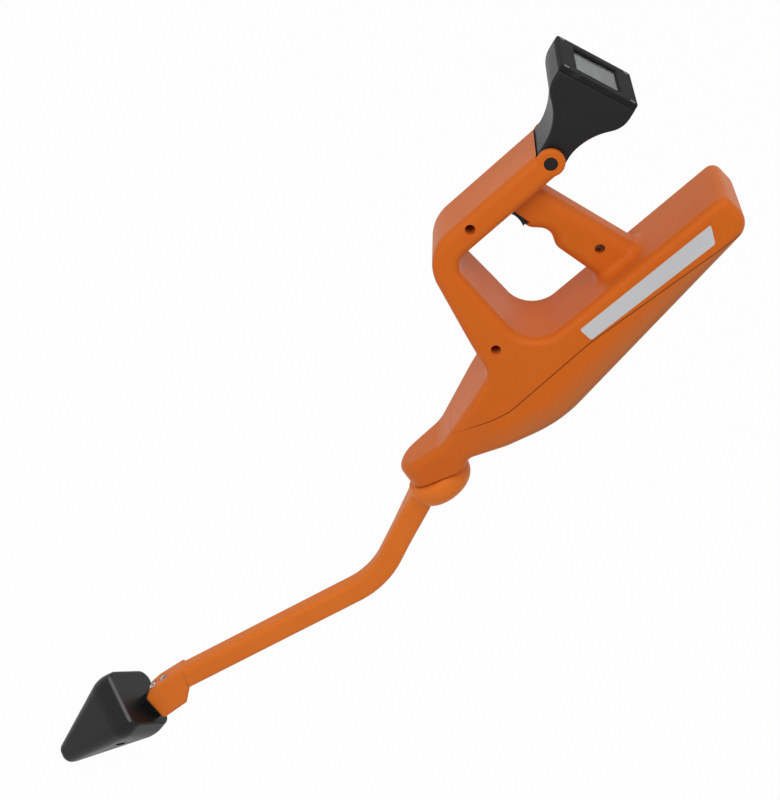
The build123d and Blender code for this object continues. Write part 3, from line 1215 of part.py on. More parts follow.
with BuildPart() as coil_bobbin:
    ring(FOOT_AXIS, CORE_RADIUS + BOBBIN_WALL, CORE_RADIUS, -COIL_END, -CORE_TOP)
    for start in (-COIL_END, -CORE_TOP - BOBBIN_FLANGE_THICK):
        ring(FOOT_AXIS, BOBBIN_FLANGE, CORE_RADIUS, start, start + BOBBIN_FLANGE_THICK)
coil_bobbin.part.label = "coil_bobbin"
export_step(coil_bobbin.part, "parts/coil_bobbin.step")

with BuildPart() as antenna_coil:
    coil_top = -CORE_TOP - BOBBIN_FLANGE_THICK
    ring(FOOT_AXIS, COIL_RADIUS, CORE_RADIUS + BOBBIN_WALL, BOBBIN_FLANGE_THICK - COIL_END, coil_top)
antenna_coil.part.label = "antenna_coil"
export_step(antenna_coil.part, "parts/antenna_coil.step")
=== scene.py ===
import math
import bpy
import bmesh
from mathutils import Matrix, Vector


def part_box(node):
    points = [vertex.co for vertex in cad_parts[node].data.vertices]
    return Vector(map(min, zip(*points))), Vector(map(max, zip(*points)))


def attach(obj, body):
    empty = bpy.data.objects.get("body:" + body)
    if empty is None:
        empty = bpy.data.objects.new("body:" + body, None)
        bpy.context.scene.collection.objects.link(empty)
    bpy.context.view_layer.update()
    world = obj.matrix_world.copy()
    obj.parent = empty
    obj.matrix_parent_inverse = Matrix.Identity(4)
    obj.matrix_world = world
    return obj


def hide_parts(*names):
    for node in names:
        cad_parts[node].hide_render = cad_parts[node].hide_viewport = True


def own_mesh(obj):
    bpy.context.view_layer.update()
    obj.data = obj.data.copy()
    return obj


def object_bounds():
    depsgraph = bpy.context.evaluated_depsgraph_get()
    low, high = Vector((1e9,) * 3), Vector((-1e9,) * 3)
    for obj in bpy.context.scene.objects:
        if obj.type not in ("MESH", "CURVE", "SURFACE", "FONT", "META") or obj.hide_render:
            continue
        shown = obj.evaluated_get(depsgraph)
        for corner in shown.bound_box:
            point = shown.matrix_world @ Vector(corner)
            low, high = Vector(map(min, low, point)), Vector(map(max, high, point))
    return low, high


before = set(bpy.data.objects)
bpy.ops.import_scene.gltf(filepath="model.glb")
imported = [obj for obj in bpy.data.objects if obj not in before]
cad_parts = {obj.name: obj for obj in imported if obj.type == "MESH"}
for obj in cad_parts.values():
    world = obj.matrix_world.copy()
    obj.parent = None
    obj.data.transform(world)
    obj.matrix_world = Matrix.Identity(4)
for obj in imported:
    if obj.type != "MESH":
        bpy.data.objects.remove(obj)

cad_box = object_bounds()

# Body shells, belly pan, battery door and antenna arm: orange plastic, moulded with a satin skin.
# The mould was spark eroded, so the skin has a fine grain, with slow drifts of tone from the flow
# of the plastic. Use has left a few dull scuffs and a thin film of dust.


def feed(node, inputs):
    for label, value in inputs.items():
        if isinstance(value, bpy.types.NodeSocket):
            node.id_data.links.new(value, node.inputs[label])
        else:
            node.inputs[label].default_value = value


def add_node(tree, kind, inputs=(), **settings):
    node = tree.nodes.new(kind)
    for label, value in settings.items():
        setattr(node, label, value)
    feed(node, dict(inputs))
    return node


def object_place(tree):
    return add_node(tree, "ShaderNodeTexCoord").outputs["Object"]


def add_noise(tree, place, scale, detail, roughness=0.5):
    inputs = {"Vector": place, "Scale": scale, "Detail": detail, "Roughness": roughness}
    return add_node(tree, "ShaderNodeTexNoise", inputs).outputs["Fac"]


def add_range(tree, value, low, high, to_low=0.0, to_high=1.0):
    inputs = {"Value": value, "From Min": low, "From Max": high, "To Min": to_low, "To Max": to_high}
    return add_node(tree, "ShaderNodeMapRange", inputs).outputs["Result"]


def add_math(tree, operation, *values):
    return add_node(tree, "ShaderNodeMath", dict(enumerate(values)), operation=operation).outputs["Value"]


# Places of the colours among the sockets of a mix node
MIX_FIRST = 6
MIX_SECOND = 7
MIX_RESULT = 2


def add_mix(tree, factor, first, second):
    inputs = {"Factor": factor, MIX_FIRST: first, MIX_SECOND: second}
    return add_node(tree, "ShaderNodeMix", inputs, data_type="RGBA").outputs[MIX_RESULT]


COLOUR = "NodeSocketColor"
FLOAT = "NodeSocketFloat"


def new_group(name, inputs, outputs):
    group = bpy.data.node_groups.new(name, "ShaderNodeTree")
    for label, kind in inputs.items():
        group.interface.new_socket(label, in_out="INPUT", socket_type=kind)
    for label, kind in outputs.items():
        group.interface.new_socket(label, in_out="OUTPUT", socket_type=kind)
    given = group.nodes.new("NodeGroupInput").outputs
    return group, given, group.nodes.new("NodeGroupOutput")


DRIFT_SCALE = 11.0
DRIFT_DETAIL = 3.0
DRIFT_EDGES = (0.35, 0.68)
DRIFT_ROUGHNESS = 0.06
SCUFF_STRETCH = (60.0, 320.0, 45.0)
SCUFF_TURN = (0.2, 0.5, 0.1)
SCUFF_SCALE = 1.0
SCUFF_DETAIL = 4.0
SCUFF_RAGGED = 0.6
SCUFF_EDGES = (0.64, 0.74)
SCUFF_AREA_SCALE = 16.0
SCUFF_AREA_DETAIL = 2.0
SCUFF_AREA_EDGES = (0.5, 0.66)
SCUFF_SHARE = 0.35
SCUFF_ROUGHNESS = 0.12
GRAIN_DETAIL = 2.0
GRAIN_EDGES = (0.3, 0.7)
GRAIN_ROUGHNESS = (-0.04, 0.04)
GRAIN_STRENGTH = 0.5
skin, skin_in, skin_out = new_group(
    "moulded_skin",
    {"Colour": COLOUR, "Drift": COLOUR, "Scuff": COLOUR, "Base Roughness": FLOAT, "Grain": FLOAT},
    {"Colour": COLOUR, "Roughness": FLOAT, "Height": FLOAT},
)
skin_place = object_place(skin)
drifts = add_range(skin, add_noise(skin, skin_place, DRIFT_SCALE, DRIFT_DETAIL), *DRIFT_EDGES)
scuff_place = add_node(
    skin,
    "ShaderNodeMapping",
    {"Vector": skin_place, "Scale": SCUFF_STRETCH, "Rotation": SCUFF_TURN},
).outputs["Vector"]
scuff_lines = add_noise(skin, scuff_place, SCUFF_SCALE, SCUFF_DETAIL, SCUFF_RAGGED)
scuff_areas = add_noise(skin, skin_place, SCUFF_AREA_SCALE, SCUFF_AREA_DETAIL)
scuffs = add_math(
    skin,
    "MULTIPLY",
    add_range(skin, scuff_lines, *SCUFF_EDGES),
    add_range(skin, scuff_areas, *SCUFF_AREA_EDGES),
)
grain_height = add_noise(skin, skin_place, skin_in["Grain"], GRAIN_DETAIL)
drifted = add_mix(skin, drifts, skin_in["Colour"], skin_in["Drift"])
scuffed = add_mix(skin, add_math(skin, "MULTIPLY", scuffs, SCUFF_SHARE), drifted, skin_in["Scuff"])
skin_rough = add_math(skin, "MULTIPLY_ADD", drifts, DRIFT_ROUGHNESS, skin_in["Base Roughness"])
skin_rough = add_math(skin, "MULTIPLY_ADD", scuffs, SCUFF_ROUGHNESS, skin_rough)
skin_rough = add_math(skin, "ADD", skin_rough, add_range(skin, grain_height, *GRAIN_EDGES, *GRAIN_ROUGHNESS))
feed(skin_out, {"Colour": scuffed, "Roughness": skin_rough, "Height": grain_height})

EDGE_SAMPLES = 8


def add_bump(tree, height, strength, distance, edge_radius=0.0):
    inputs = {"Strength": strength, "Distance": distance, "Height": height}
    if edge_radius:
        edges = add_node(tree, "ShaderNodeBevel", {"Radius": edge_radius}, samples=EDGE_SAMPLES)
        inputs["Normal"] = edges.outputs["Normal"]
    return add_node(tree, "ShaderNodeBump", inputs).outputs["Normal"]


def new_material(name):
    material = bpy.data.materials.new(name)
    material.use_nodes = True
    return material, material.node_tree, material.node_tree.nodes["Principled BSDF"]


def moulded(name, colour, drift, scuff, roughness, specular, grain, grain_depth, edge_radius=0.0):
    material, tree, shader = new_material(name)
    values = {"Colour": colour, "Drift": drift, "Scuff": scuff, "Base Roughness": roughness, "Grain": grain}
    surface = add_node(tree, "ShaderNodeGroup", values, node_tree=skin).outputs
    feed(
        shader,
        {
            "Base Color": surface["Colour"],
            "Roughness": surface["Roughness"],
            "Specular IOR Level": specular,
            "Normal": add_bump(tree, surface["Height"], GRAIN_STRENGTH, grain_depth, edge_radius),
        },
    )
    return material


def dress(material, *names):
    for name in names:
        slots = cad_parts[name].data.materials
        slots.clear()
        slots.append(material)


ORANGE_SKIN = {
    "scuff": (0.65, 0.17, 0.03, 1),
    "roughness": 0.44,
    "specular": 0.17,
    "grain": 1100.0,
    "grain_depth": 0.00006,
}
BODY_ORANGE = {"colour": (0.64, 0.128, 0.006, 1), "drift": (0.605, 0.117, 0.0055, 1)}
# The arm's orange is a lighter copy of the body's orange: painted light, for more light on the arm.
ARM_ORANGE = {"colour": (0.755, 0.174, 0.014, 1), "drift": (0.715, 0.16, 0.013, 1)}
ARM_EDGE = 0.007
DUST_FILM = {"Sheen Weight": 0.1, "Sheen Roughness": 0.45, "Sheen Tint": (1.0, 0.84, 0.5, 1)}
shell_orange = moulded("orange_shell_plastic", **BODY_ORANGE, **ORANGE_SKIN)
dress(shell_orange, "left_shell", "right_shell")
pan_orange = moulded("orange_pan_plastic", **BODY_ORANGE, **ORANGE_SKIN)
dress(pan_orange, "belly_pan", "battery_door")
arm_orange = moulded("orange_arm_plastic", **ARM_ORANGE, **ORANGE_SKIN, edge_radius=ARM_EDGE)
dress(arm_orange, "antenna_arm")
for material in (shell_orange, pan_orange, arm_orange):
    feed(material.node_tree.nodes["Principled BSDF"], DUST_FILM)

# Long seam between the shells and the belly pan: a fine gap along three straight runs. Along it the orange
# is painted dark brown, a painted shade of the gap, which fades out at the nose.
SEAM = [(0.1210, 0.1290), (0.0735, -0.0702), (0.0587, -0.1770), (-0.0146, -0.3300)]
SEAM_BLEND = 0.004
SEAM_EDGES = (0.0002, 0.0009)
SEAM_SHARE = 0.8
SEAM_FADE = (0.036, 0.052)
SEAM_SHADE_COLOUR = (0.13, 0.022, 0.002, 1)


def add_vector(tree, operation, *values, output="Vector"):
    node = add_node(tree, "ShaderNodeVectorMath", dict(enumerate(values)), operation=operation)
    return node.outputs[output]


def split_axes(tree, place):
    return add_node(tree, "ShaderNodeSeparateXYZ", {"Vector": place}).outputs


def add_across(tree, place, start, end):
    run = (Vector(end) - Vector(start)).normalized()
    along = add_vector(tree, "DOT_PRODUCT", place, (-run.y, 0, run.x), output="Value")
    return add_math(tree, "SUBTRACT", along, run.x * start[1] - run.y * start[0])


# Mixes a colour of painted light or shade into a material's base colour where the mask is set.
def add_painted_light(material, mask, colour):
    shader = material.node_tree.nodes["Principled BSDF"]
    under = shader.inputs["Base Color"].links[0].from_socket
    feed(shader, {"Base Color": add_mix(material.node_tree, mask, under, colour)})


seam, seam_in, seam_out = new_group("long_seam", {"Place": "NodeSocketVector"}, {"Seam Shade": FLOAT})
tail_run, body_run, nose_run = [
    add_across(seam, seam_in["Place"], start, end) for start, end in zip(SEAM, SEAM[1:])
]
off_seam = add_math(seam, "SMOOTH_MAX", add_math(seam, "MINIMUM", tail_run, body_run), nose_run, SEAM_BLEND)
seam_shade = add_math(
    seam,
    "MULTIPLY",
    add_range(seam, add_math(seam, "ABSOLUTE", off_seam), *SEAM_EDGES, SEAM_SHARE, 0.0),
    add_range(seam, split_axes(seam, seam_in["Place"])["X"], *SEAM_FADE),
)
feed(seam_out, {"Seam Shade": seam_shade})
# Painted shade of the seam's gap, mixed into the colour of the shells and the pan.
for material in (shell_orange, pan_orange):
    place = object_place(material.node_tree)
    marks = add_node(material.node_tree, "ShaderNodeGroup", {"Place": place}, node_tree=seam)
    add_painted_light(material, marks.outputs["Seam Shade"], SEAM_SHADE_COLOUR)

# Back of the belly pan and the battery door: painted shade. The orange is darkened to a duller, greyer tone
# near the pan's back edge, which spreads a little way round onto the pan's sides and fades out lower down.
PAN_BACK = [((0.1165, 0.1000), (0.1091, -0.1200)), ((0.1091, -0.1465), (0.0850, -0.2047))]
PAN_SHADE_COLOUR = (0.485, 0.139, 0.036, 1)
SHADE_REACH = (-0.027, -0.006)
SHADE_FADE = (-0.25, -0.17)
pan_tree = pan_orange.node_tree
pan_place = object_place(pan_tree)
back_runs = [add_across(pan_tree, pan_place, start, end) for start, end in PAN_BACK]
pan_shade = add_math(
    pan_tree,
    "MULTIPLY",
    add_range(pan_tree, add_math(pan_tree, "MAXIMUM", *back_runs), *SHADE_REACH),
    add_range(pan_tree, split_axes(pan_tree, pan_place)["Z"], *SHADE_FADE),
)
# Painted shade towards the pan's back edge.
add_painted_light(pan_orange, pan_shade, PAN_SHADE_COLOUR)

# Label plate: a strip of pale film on the flat left side of the body, stuck on and left bare.
# Its corners are rounded and its surface is a little soiled.
LABEL_CORNERS = [(0.0725, -0.0670), (0.1010, 0.0785), (0.0850, 0.0905), (0.0570, -0.0650)]
LABEL_THICK = 0.00025
LABEL_ROUND = 0.0022
LABEL_ROUND_STEPS = 5


def add_plate(mesh, outline, side):
    return mesh.faces.new([mesh.verts.new((x, side, z)) for x, z in outline])


def thicken(mesh, faces, depth):
    raised = bmesh.ops.extrude_face_region(mesh, geom=faces)["geom"]
    raised_verts = [item for item in raised if isinstance(item, bmesh.types.BMVert)]
    bmesh.ops.translate(mesh, verts=raised_verts, vec=(0, depth, 0))


def add_object(name, shape, material):
    shape.materials.append(material)
    piece = bpy.data.objects.new(name, shape)
    bpy.context.scene.collection.objects.link(piece)
    return piece


def add_piece(name, mesh, material):
    shape = bpy.data.meshes.new(name)
    mesh.to_mesh(shape)
    mesh.free()
    return add_object(name, shape, material)


label_film = moulded(
    "label_film",
    colour=(0.58, 0.58, 0.59, 1),
    drift=(0.54, 0.54, 0.55, 1),
    scuff=(0.48, 0.46, 0.44, 1),
    roughness=0.3,
    specular=0.5,
    grain=500.0,
    grain_depth=0.00001,
)
left_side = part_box("left_shell")[0].y
mesh = bmesh.new()
add_plate(mesh, LABEL_CORNERS, left_side - LABEL_THICK)
bmesh.ops.bevel(
    mesh,
    geom=list(mesh.verts),
    offset=LABEL_ROUND,
    offset_type="OFFSET",
    segments=LABEL_ROUND_STEPS,
    profile=0.5,
    affect="VERTICES",
    material=-1,
)
thicken(mesh, list(mesh.faces), LABEL_THICK)
bmesh.ops.recalc_face_normals(mesh, faces=list(mesh.faces))
label_plate = add_piece("label_plate", mesh, label_film)
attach(label_plate, "housing")

# Fork and clamp screws, trigger pin, battery contacts and the swivel's spindle, washer and nut: bright
# plated steel, with the fine marks of its making and a little tarnish in patches.
LATHE_SCALE = 2600.0
LATHE_DETAIL = 2.0
LATHE_STRENGTH = 0.3
LATHE_DEPTH = 0.00002
STEEL_BRIGHT = (0.66, 0.65, 0.63, 1)
STEEL_TARNISHED = (0.48, 0.46, 0.43, 1)
PLATED = {
    "Patch Scale": 160.0,
    "Patch Detail": 4.0,
    "Patch Start": 0.4,
    "Patch Full": 0.7,
    "Base Roughness": 0.28,
    "Patch Roughness": 0.42,
}
turned, turned_in, turned_out = new_group(
    "turned_steel",
    {"Colour": COLOUR, "Patch Colour": COLOUR, **dict.fromkeys(PLATED, FLOAT)},
    {"Colour": COLOUR, "Roughness": FLOAT, "Height": FLOAT},
)
turned_place = object_place(turned)
patch_noise = add_noise(turned, turned_place, turned_in["Patch Scale"], turned_in["Patch Detail"])
patches = add_range(turned, patch_noise, turned_in["Patch Start"], turned_in["Patch Full"])
turned_rough = add_range(turned, patches, 0.0, 1.0, turned_in["Base Roughness"], turned_in["Patch Roughness"])
feed(
    turned_out,
    {
        "Colour": add_mix(turned, patches, turned_in["Colour"], turned_in["Patch Colour"]),
        "Roughness": turned_rough,
        "Height": add_noise(turned, turned_place, LATHE_SCALE, LATHE_DETAIL),
    },
)


def turned_steel(name, colour, patch_colour, finish):
    material, tree, shader = new_material(name)
    values = {"Colour": colour, "Patch Colour": patch_colour, **finish}
    surface = add_node(tree, "ShaderNodeGroup", values, node_tree=turned).outputs
    feed(
        shader,
        {
            "Base Color": surface["Colour"],
            "Roughness": surface["Roughness"],
            "Metallic": 1.0,
            "Normal": add_bump(tree, surface["Height"], LATHE_STRENGTH, LATHE_DEPTH),
        },
    )
    return material


steel = turned_steel("plated_steel", STEEL_BRIGHT, STEEL_TARNISHED, PLATED)
dress(steel, "fork_screws", "foot_clamp_screw", "trigger_pin", "battery_contacts")
dress(steel, "swivel_spindle", "swivel_washer", "swivel_nut")

# Trigger spring: a coil of hard wire in the grip, from the trigger's upper face to the grip's roof.
# In the grip it shortens as the trigger is pressed, and pushes it back; here the coil is drawn at one fixed
# length.
SPRING_TURNS = 7
SPRING_STEPS = 24
SPRING_WIRE = 0.0005
SPRING_WIRE_STEPS = 3
spring_low, spring_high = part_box("trigger_spring")
spring_middle = (spring_low + spring_high) / 2
spring_reach = (spring_high.y - spring_low.y) / 2 - SPRING_WIRE
spring_rise = spring_high.z - spring_low.z - 2 * SPRING_WIRE
spring_path = bpy.data.curves.new("trigger_coil_path", "CURVE")
spring_path.dimensions = "3D"
spring_path.bevel_depth = SPRING_WIRE
spring_path.bevel_resolution = SPRING_WIRE_STEPS
spring_path.use_fill_caps = True
spring_line = spring_path.splines.new("POLY")
spring_count = SPRING_TURNS * SPRING_STEPS
spring_line.points.add(spring_count)
for step, point in enumerate(spring_line.points):
    turn = 2 * math.pi * step / SPRING_STEPS
    point.co = (
        spring_middle.x + spring_reach * math.cos(turn),
        spring_middle.y + spring_reach * math.sin(turn),
        spring_low.z + SPRING_WIRE + spring_rise * step / spring_count,
        1,
    )
spring_curve = bpy.data.objects.new("trigger_coil_path", spring_path)
coil_mesh = bpy.data.meshes.new_from_object(spring_curve)
bpy.data.objects.remove(spring_curve)
bpy.data.curves.remove(spring_path)
coil_mesh.name = "trigger_coil"
coil_mesh.materials.clear()
coil_mesh.shade_smooth()
trigger_coil = add_object("trigger_coil", coil_mesh, steel)
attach(trigger_coil, "housing")
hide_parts("trigger_spring")
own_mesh(trigger_coil)

# Cup washer under the mouth of the fork's upper screw hole, which is the deeper of the two: a turned
# ring, rounded at its rim, on the head of the screw.
CUP_SEAT = Vector((-0.02029, 0.0, -0.68898))
CUP_AXIS = Vector((-0.93959, 0.0, 0.34232))
CUP_PROFILE = [
    (0.0029, 0.00005),
    (0.00425, 0.00005),
    (0.00425, 0.0016),
    (0.0041, 0.0019),
    (0.0038, 0.00205),
    (0.0034, 0.00195),
    (0.0029, 0.0015),
]
CUP_STEPS = 40
mesh = bmesh.new()
cup_ring = [mesh.verts.new((reach, 0, rise)) for reach, rise in CUP_PROFILE]
cup_edges = [mesh.edges.new(pair) for pair in zip(cup_ring, cup_ring[1:] + cup_ring[:1])]
bmesh.ops.spin(
    mesh,
    geom=cup_ring + cup_edges,
    cent=(0, 0, 0),
    axis=(0, 0, 1),
    angle=2 * math.pi,
    steps=CUP_STEPS,
    use_merge=True,
)
bmesh.ops.recalc_face_normals(mesh, faces=list(mesh.faces))
cup_turn = CUP_AXIS.to_track_quat("Z", "Y").to_matrix().to_4x4()
bmesh.ops.transform(mesh, matrix=Matrix.Translation(CUP_SEAT) @ cup_turn, verts=list(mesh.verts))
cup_washer = add_piece("fork_cup_washer", mesh, steel)
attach(cup_washer, "antenna_arm")

# Body, cover and rim screws: oxide-blackened steel with a little bare metal in patches. The body's own
# screws are painted dark reddish brown, a painted shade of their recesses with a painted reflection of the
# orange around them, and those of the display's rim are worn nearly bright.
OXIDISED = {
    "Patch Scale": 700.0,
    "Patch Detail": 3.0,
    "Patch Start": 0.5,
    "Patch Full": 0.72,
    "Base Roughness": 0.45,
    "Patch Roughness": 0.3,
}
COVER_OXIDE = (0.05, 0.047, 0.045, 1)
COVER_BARED = (0.3, 0.29, 0.28, 1)
RIM_OXIDE = (0.2, 0.195, 0.19, 1)
RIM_BARED = (0.62, 0.61, 0.59, 1)
RECESS_SCREW_SHADE = (0.1, 0.026, 0.01, 1)
RECESS_SCREW_REFLECTION = (0.36, 0.17, 0.1, 1)
cover_steel = turned_steel("blackened_steel", COVER_OXIDE, COVER_BARED, OXIDISED)
dress(cover_steel, "pan_screws", "door_screw")
rim_steel = turned_steel("worn_steel", RIM_OXIDE, RIM_BARED, OXIDISED)
dress(rim_steel, "bezel_screws")
# Body screws: painted shade of their recesses, with a painted reflection of the orange around them.
recess_screw_steel = turned_steel("recess_shaded_steel", RECESS_SCREW_SHADE, RECESS_SCREW_REFLECTION, OXIDISED)
dress(recess_screw_steel, "shell_screws")

# Display head, trigger and foot: black plastic, moulded with a satin skin, and matt on the display's
# rim plate. The battery tray, switch, sounder and coil bobbin inside are of the same plastic.
head_black = moulded(
    "black_satin_plastic",
    colour=(0.006, 0.006, 0.0063, 1),
    drift=(0.009, 0.009, 0.0094, 1),
    scuff=(0.06, 0.06, 0.06, 1),
    roughness=0.42,
    specular=0.24,
    grain=1000.0,
    grain_depth=0.00006,
    edge_radius=0.003,
)
dress(head_black, "head_shell", "trigger", "battery_tray", "trigger_switch", "sounder", "coil_bobbin")
bezel_black = moulded(
    "black_matt_plastic",
    colour=(0.015, 0.015, 0.0155, 1),
    drift=(0.019, 0.019, 0.0195, 1),
    scuff=(0.06, 0.06, 0.06, 1),
    roughness=0.62,
    specular=0.05,
    grain=900.0,
    grain_depth=0.00008,
    edge_radius=0.0012,
)
dress(bezel_black, "head_bezel")
foot_black = moulded(
    "foot_black_plastic",
    colour=(0.006, 0.006, 0.0064, 1),
    drift=(0.009, 0.009, 0.0094, 1),
    scuff=(0.07, 0.07, 0.068, 1),
    roughness=0.34,
    specular=0.22,
    grain=800.0,
    grain_depth=0.00008,
)
dress(foot_black, "foot_left_shell", "foot_right_shell", "foot_tang")

# Ridge of the foot, between its top and its slanted front faces: a painted highlight, a narrow line in which
# the black plastic is painted pale, and which runs alike on the left and the right half.
RIDGE_FRONT = Vector((-0.0710, 0.0045, -0.7210))
RIDGE_SIDE = Vector((-0.0325, 0.0436, -0.7279))
RIDGE_HIGHLIGHT = (0.13, 0.13, 0.133, 1)
RIDGE_EDGES = (0.0006, 0.0028)
ridge_run = RIDGE_SIDE - RIDGE_FRONT
ridge_share = ridge_run / ridge_run.length_squared
foot_tree = foot_black.node_tree
foot_axes = split_axes(foot_tree, object_place(foot_tree))
right_half = add_node(
    foot_tree,
    "ShaderNodeCombineXYZ",
    {"X": foot_axes["X"], "Y": add_math(foot_tree, "ABSOLUTE", foot_axes["Y"]), "Z": foot_axes["Z"]},
).outputs["Vector"]
from_front = add_vector(foot_tree, "SUBTRACT", right_half, RIDGE_FRONT)
along_ridge = add_vector(foot_tree, "DOT_PRODUCT", from_front, ridge_share, output="Value")
nearest = add_vector(foot_tree, "MULTIPLY", ridge_run, add_range(foot_tree, along_ridge, 0.0, 1.0))
off_ridge = add_vector(foot_tree, "DISTANCE", from_front, nearest, output="Value")
# Painted highlight along the ridge.
add_painted_light(foot_black, add_range(foot_tree, off_ridge, *RIDGE_EDGES, 1.0, 0.0), RIDGE_HIGHLIGHT)

# Cross pin of the tilt hinge, blackened and dull at its ends, and the rubber gasket pressed between
# the display's rim plate and the head.
pin_black = moulded(
    "blackened_pin",
    colour=(0.012, 0.012, 0.013, 1),
    drift=(0.02, 0.019, 0.018, 1),
    scuff=(0.1, 0.1, 0.1, 1),
    roughness=0.45,
    specular=0.15,
    grain=1500.0,
    grain_depth=0.00003,
)
dress(pin_black, "head_pin")
seal_black = moulded(
    "gasket_rubber",
    colour=(0.01, 0.01, 0.01, 1),
    drift=(0.016, 0.016, 0.016, 1),
    scuff=(0.05, 0.05, 0.05, 1),
    roughness=0.75,
    specular=0.2,
    grain=700.0,
    grain_depth=0.0001,
)
dress(seal_black, "bezel_gasket")

# Seals of the long seam: a flat black rubber strip in each side wall, across the gap between the shells
# and the pan, which keeps rain out. Seen through the gap, the black strip stands in for the shade in the
# seam.
SEAL_PATH = [(0.1045, 0.0600), (0.0735, -0.0702), (0.0590, -0.1750)]
SEAL_HALF = 0.0012
SEAL_SUNK = 0.0010
SEAL_THICK = 0.0010


def seal_edge(offset):
    edge = []
    for index, (x, z) in enumerate(SEAL_PATH):
        before = Vector(SEAL_PATH[max(index - 1, 0)])
        after = Vector(SEAL_PATH[min(index + 1, len(SEAL_PATH) - 1)])
        run = (after - before).normalized()
        edge.append((x - run.y * offset, z + run.x * offset))
    return edge


seal_outline = seal_edge(SEAL_HALF) + seal_edge(-SEAL_HALF)[::-1]
seal_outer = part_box("right_shell")[1].y - SEAL_SUNK
mesh = bmesh.new()
for side in (-1, 1):
    strip = add_plate(mesh, seal_outline, side * seal_outer)
    thicken(mesh, [strip], -side * SEAL_THICK)
bmesh.ops.recalc_face_normals(mesh, faces=list(mesh.faces))
seam_shade_seals = add_piece("seam_shade_seals", mesh, seal_black)
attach(seam_shade_seals, "housing")

# Display window: clear cast sheet let into the rim plate, coated against glare, with faint smears
# from wiping.
SMEAR_SCALE = 60.0
SMEAR_DETAIL = 4.0
SMEAR_RAGGED = 0.65
SMEAR_EDGES = (0.35, 0.7)
GLASS_ROUGHNESS = (0.02, 0.09)
GLASS_CLEAN = (0.93, 0.95, 0.95, 1)
GLASS_SMEARED = (0.9, 0.92, 0.92, 1)
GLASS_IOR = 1.12
glass, glass_tree, glass_shader = new_material("clear_window")
smears = add_noise(glass_tree, object_place(glass_tree), SMEAR_SCALE, SMEAR_DETAIL, SMEAR_RAGGED)
feed(
    glass_shader,
    {
        "Base Color": add_mix(glass_tree, smears, GLASS_CLEAN, GLASS_SMEARED),
        "Roughness": add_range(glass_tree, smears, *SMEAR_EDGES, *GLASS_ROUGHNESS),
        "Transmission Weight": 1.0,
        "IOR": GLASS_IOR,
    },
)
dress(glass, "display_window")

# Display module under the window: a grey liquid crystal cell, switched off, with its fine dot grid
# and a faint cloudiness. It is carried by the head's circuit board.
DOT_SCALE = 2400.0
CELL_GREY = (0.22, 0.225, 0.22, 1)
CELL_DOT = (0.19, 0.195, 0.19, 1)
CLOUD_SCALE = 25.0
CLOUD_DETAIL = 2.0
CLOUD_EDGES = (0.3, 0.7)
CLOUD_GREY = (0.18, 0.185, 0.18, 1)
CELL_ROUGHNESS = (0.3, 0.4)
lcd, lcd_tree, lcd_shader = new_material("display_cell")
lcd_place = object_place(lcd_tree)
dots = add_node(lcd_tree, "ShaderNodeTexChecker", {"Vector": lcd_place, "Scale": DOT_SCALE}).outputs["Fac"]
cloud = add_noise(lcd_tree, lcd_place, CLOUD_SCALE, CLOUD_DETAIL)
feed(
    lcd_shader,
    {
        "Base Color": add_mix(lcd_tree, cloud, add_mix(lcd_tree, dots, CELL_GREY, CELL_DOT), CLOUD_GREY),
        "Roughness": add_range(lcd_tree, cloud, *CLOUD_EDGES, *CELL_ROUGHNESS),
    },
)
dress(lcd, "lcd_module")

# Bushes and friction washers of the tilt hinge and the swivel: turned from natural acetal, which is
# cream and slightly waxy.
acetal = moulded(
    "natural_acetal",
    colour=(0.72, 0.69, 0.62, 1),
    drift=(0.66, 0.63, 0.56, 1),
    scuff=(0.5, 0.48, 0.43, 1),
    roughness=0.36,
    specular=0.5,
    grain=1300.0,
    grain_depth=0.00003,
)
dress(acetal, "hinge_bushes", "hinge_washers", "swivel_bush")

# Circuit boards of the body and the head: glass fibre sheet under green lacquer, paler and slightly
# raised where it covers the copper tracks.
TRACK_SCALE = 220.0
TRACK_EDGES = (0.05, 0.09)
LACQUER = (0.015, 0.11, 0.035, 1)
LACQUER_ON_TRACK = (0.05, 0.22, 0.07, 1)
LACQUER_ROUGHNESS = (0.35, 0.28)
TRACK_STRENGTH = 0.4
TRACK_HEIGHT = 0.00004
board, board_tree, board_shader = new_material("board_lacquer")
track_cells = add_node(
    board_tree,
    "ShaderNodeTexVoronoi",
    {"Vector": object_place(board_tree), "Scale": TRACK_SCALE},
    feature="DISTANCE_TO_EDGE",
)
tracks = add_range(board_tree, track_cells.outputs["Distance"], *TRACK_EDGES, 1.0, 0.0)
feed(
    board_shader,
    {
        "Base Color": add_mix(board_tree, tracks, LACQUER, LACQUER_ON_TRACK),
        "Roughness": add_range(board_tree, tracks, 0.0, 1.0, *LACQUER_ROUGHNESS),
        "Normal": add_bump(board_tree, tracks, TRACK_STRENGTH, TRACK_HEIGHT),
    },
)
dress(board, "main_board", "head_board")

# Battery cells in the tray behind the battery door: steel cans in shrunk plastic sleeves, which are
# plain and dark.
sleeve = moulded(
    "cell_sleeve",
    colour=(0.04, 0.05, 0.07, 1),
    drift=(0.05, 0.06, 0.08, 1),
    scuff=(0.2, 0.2, 0.2, 1),
    roughness=0.25,
    specular=0.5,
    grain=400.0,
    grain_depth=0.00002,
)
dress(sleeve, "battery_cells")

# Pick-up coil in the foot: a pressed ferrite rod and, on its bobbin, a winding of fine lacquered
# copper wire, turn beside turn.
WINDING_SCALE = 900.0
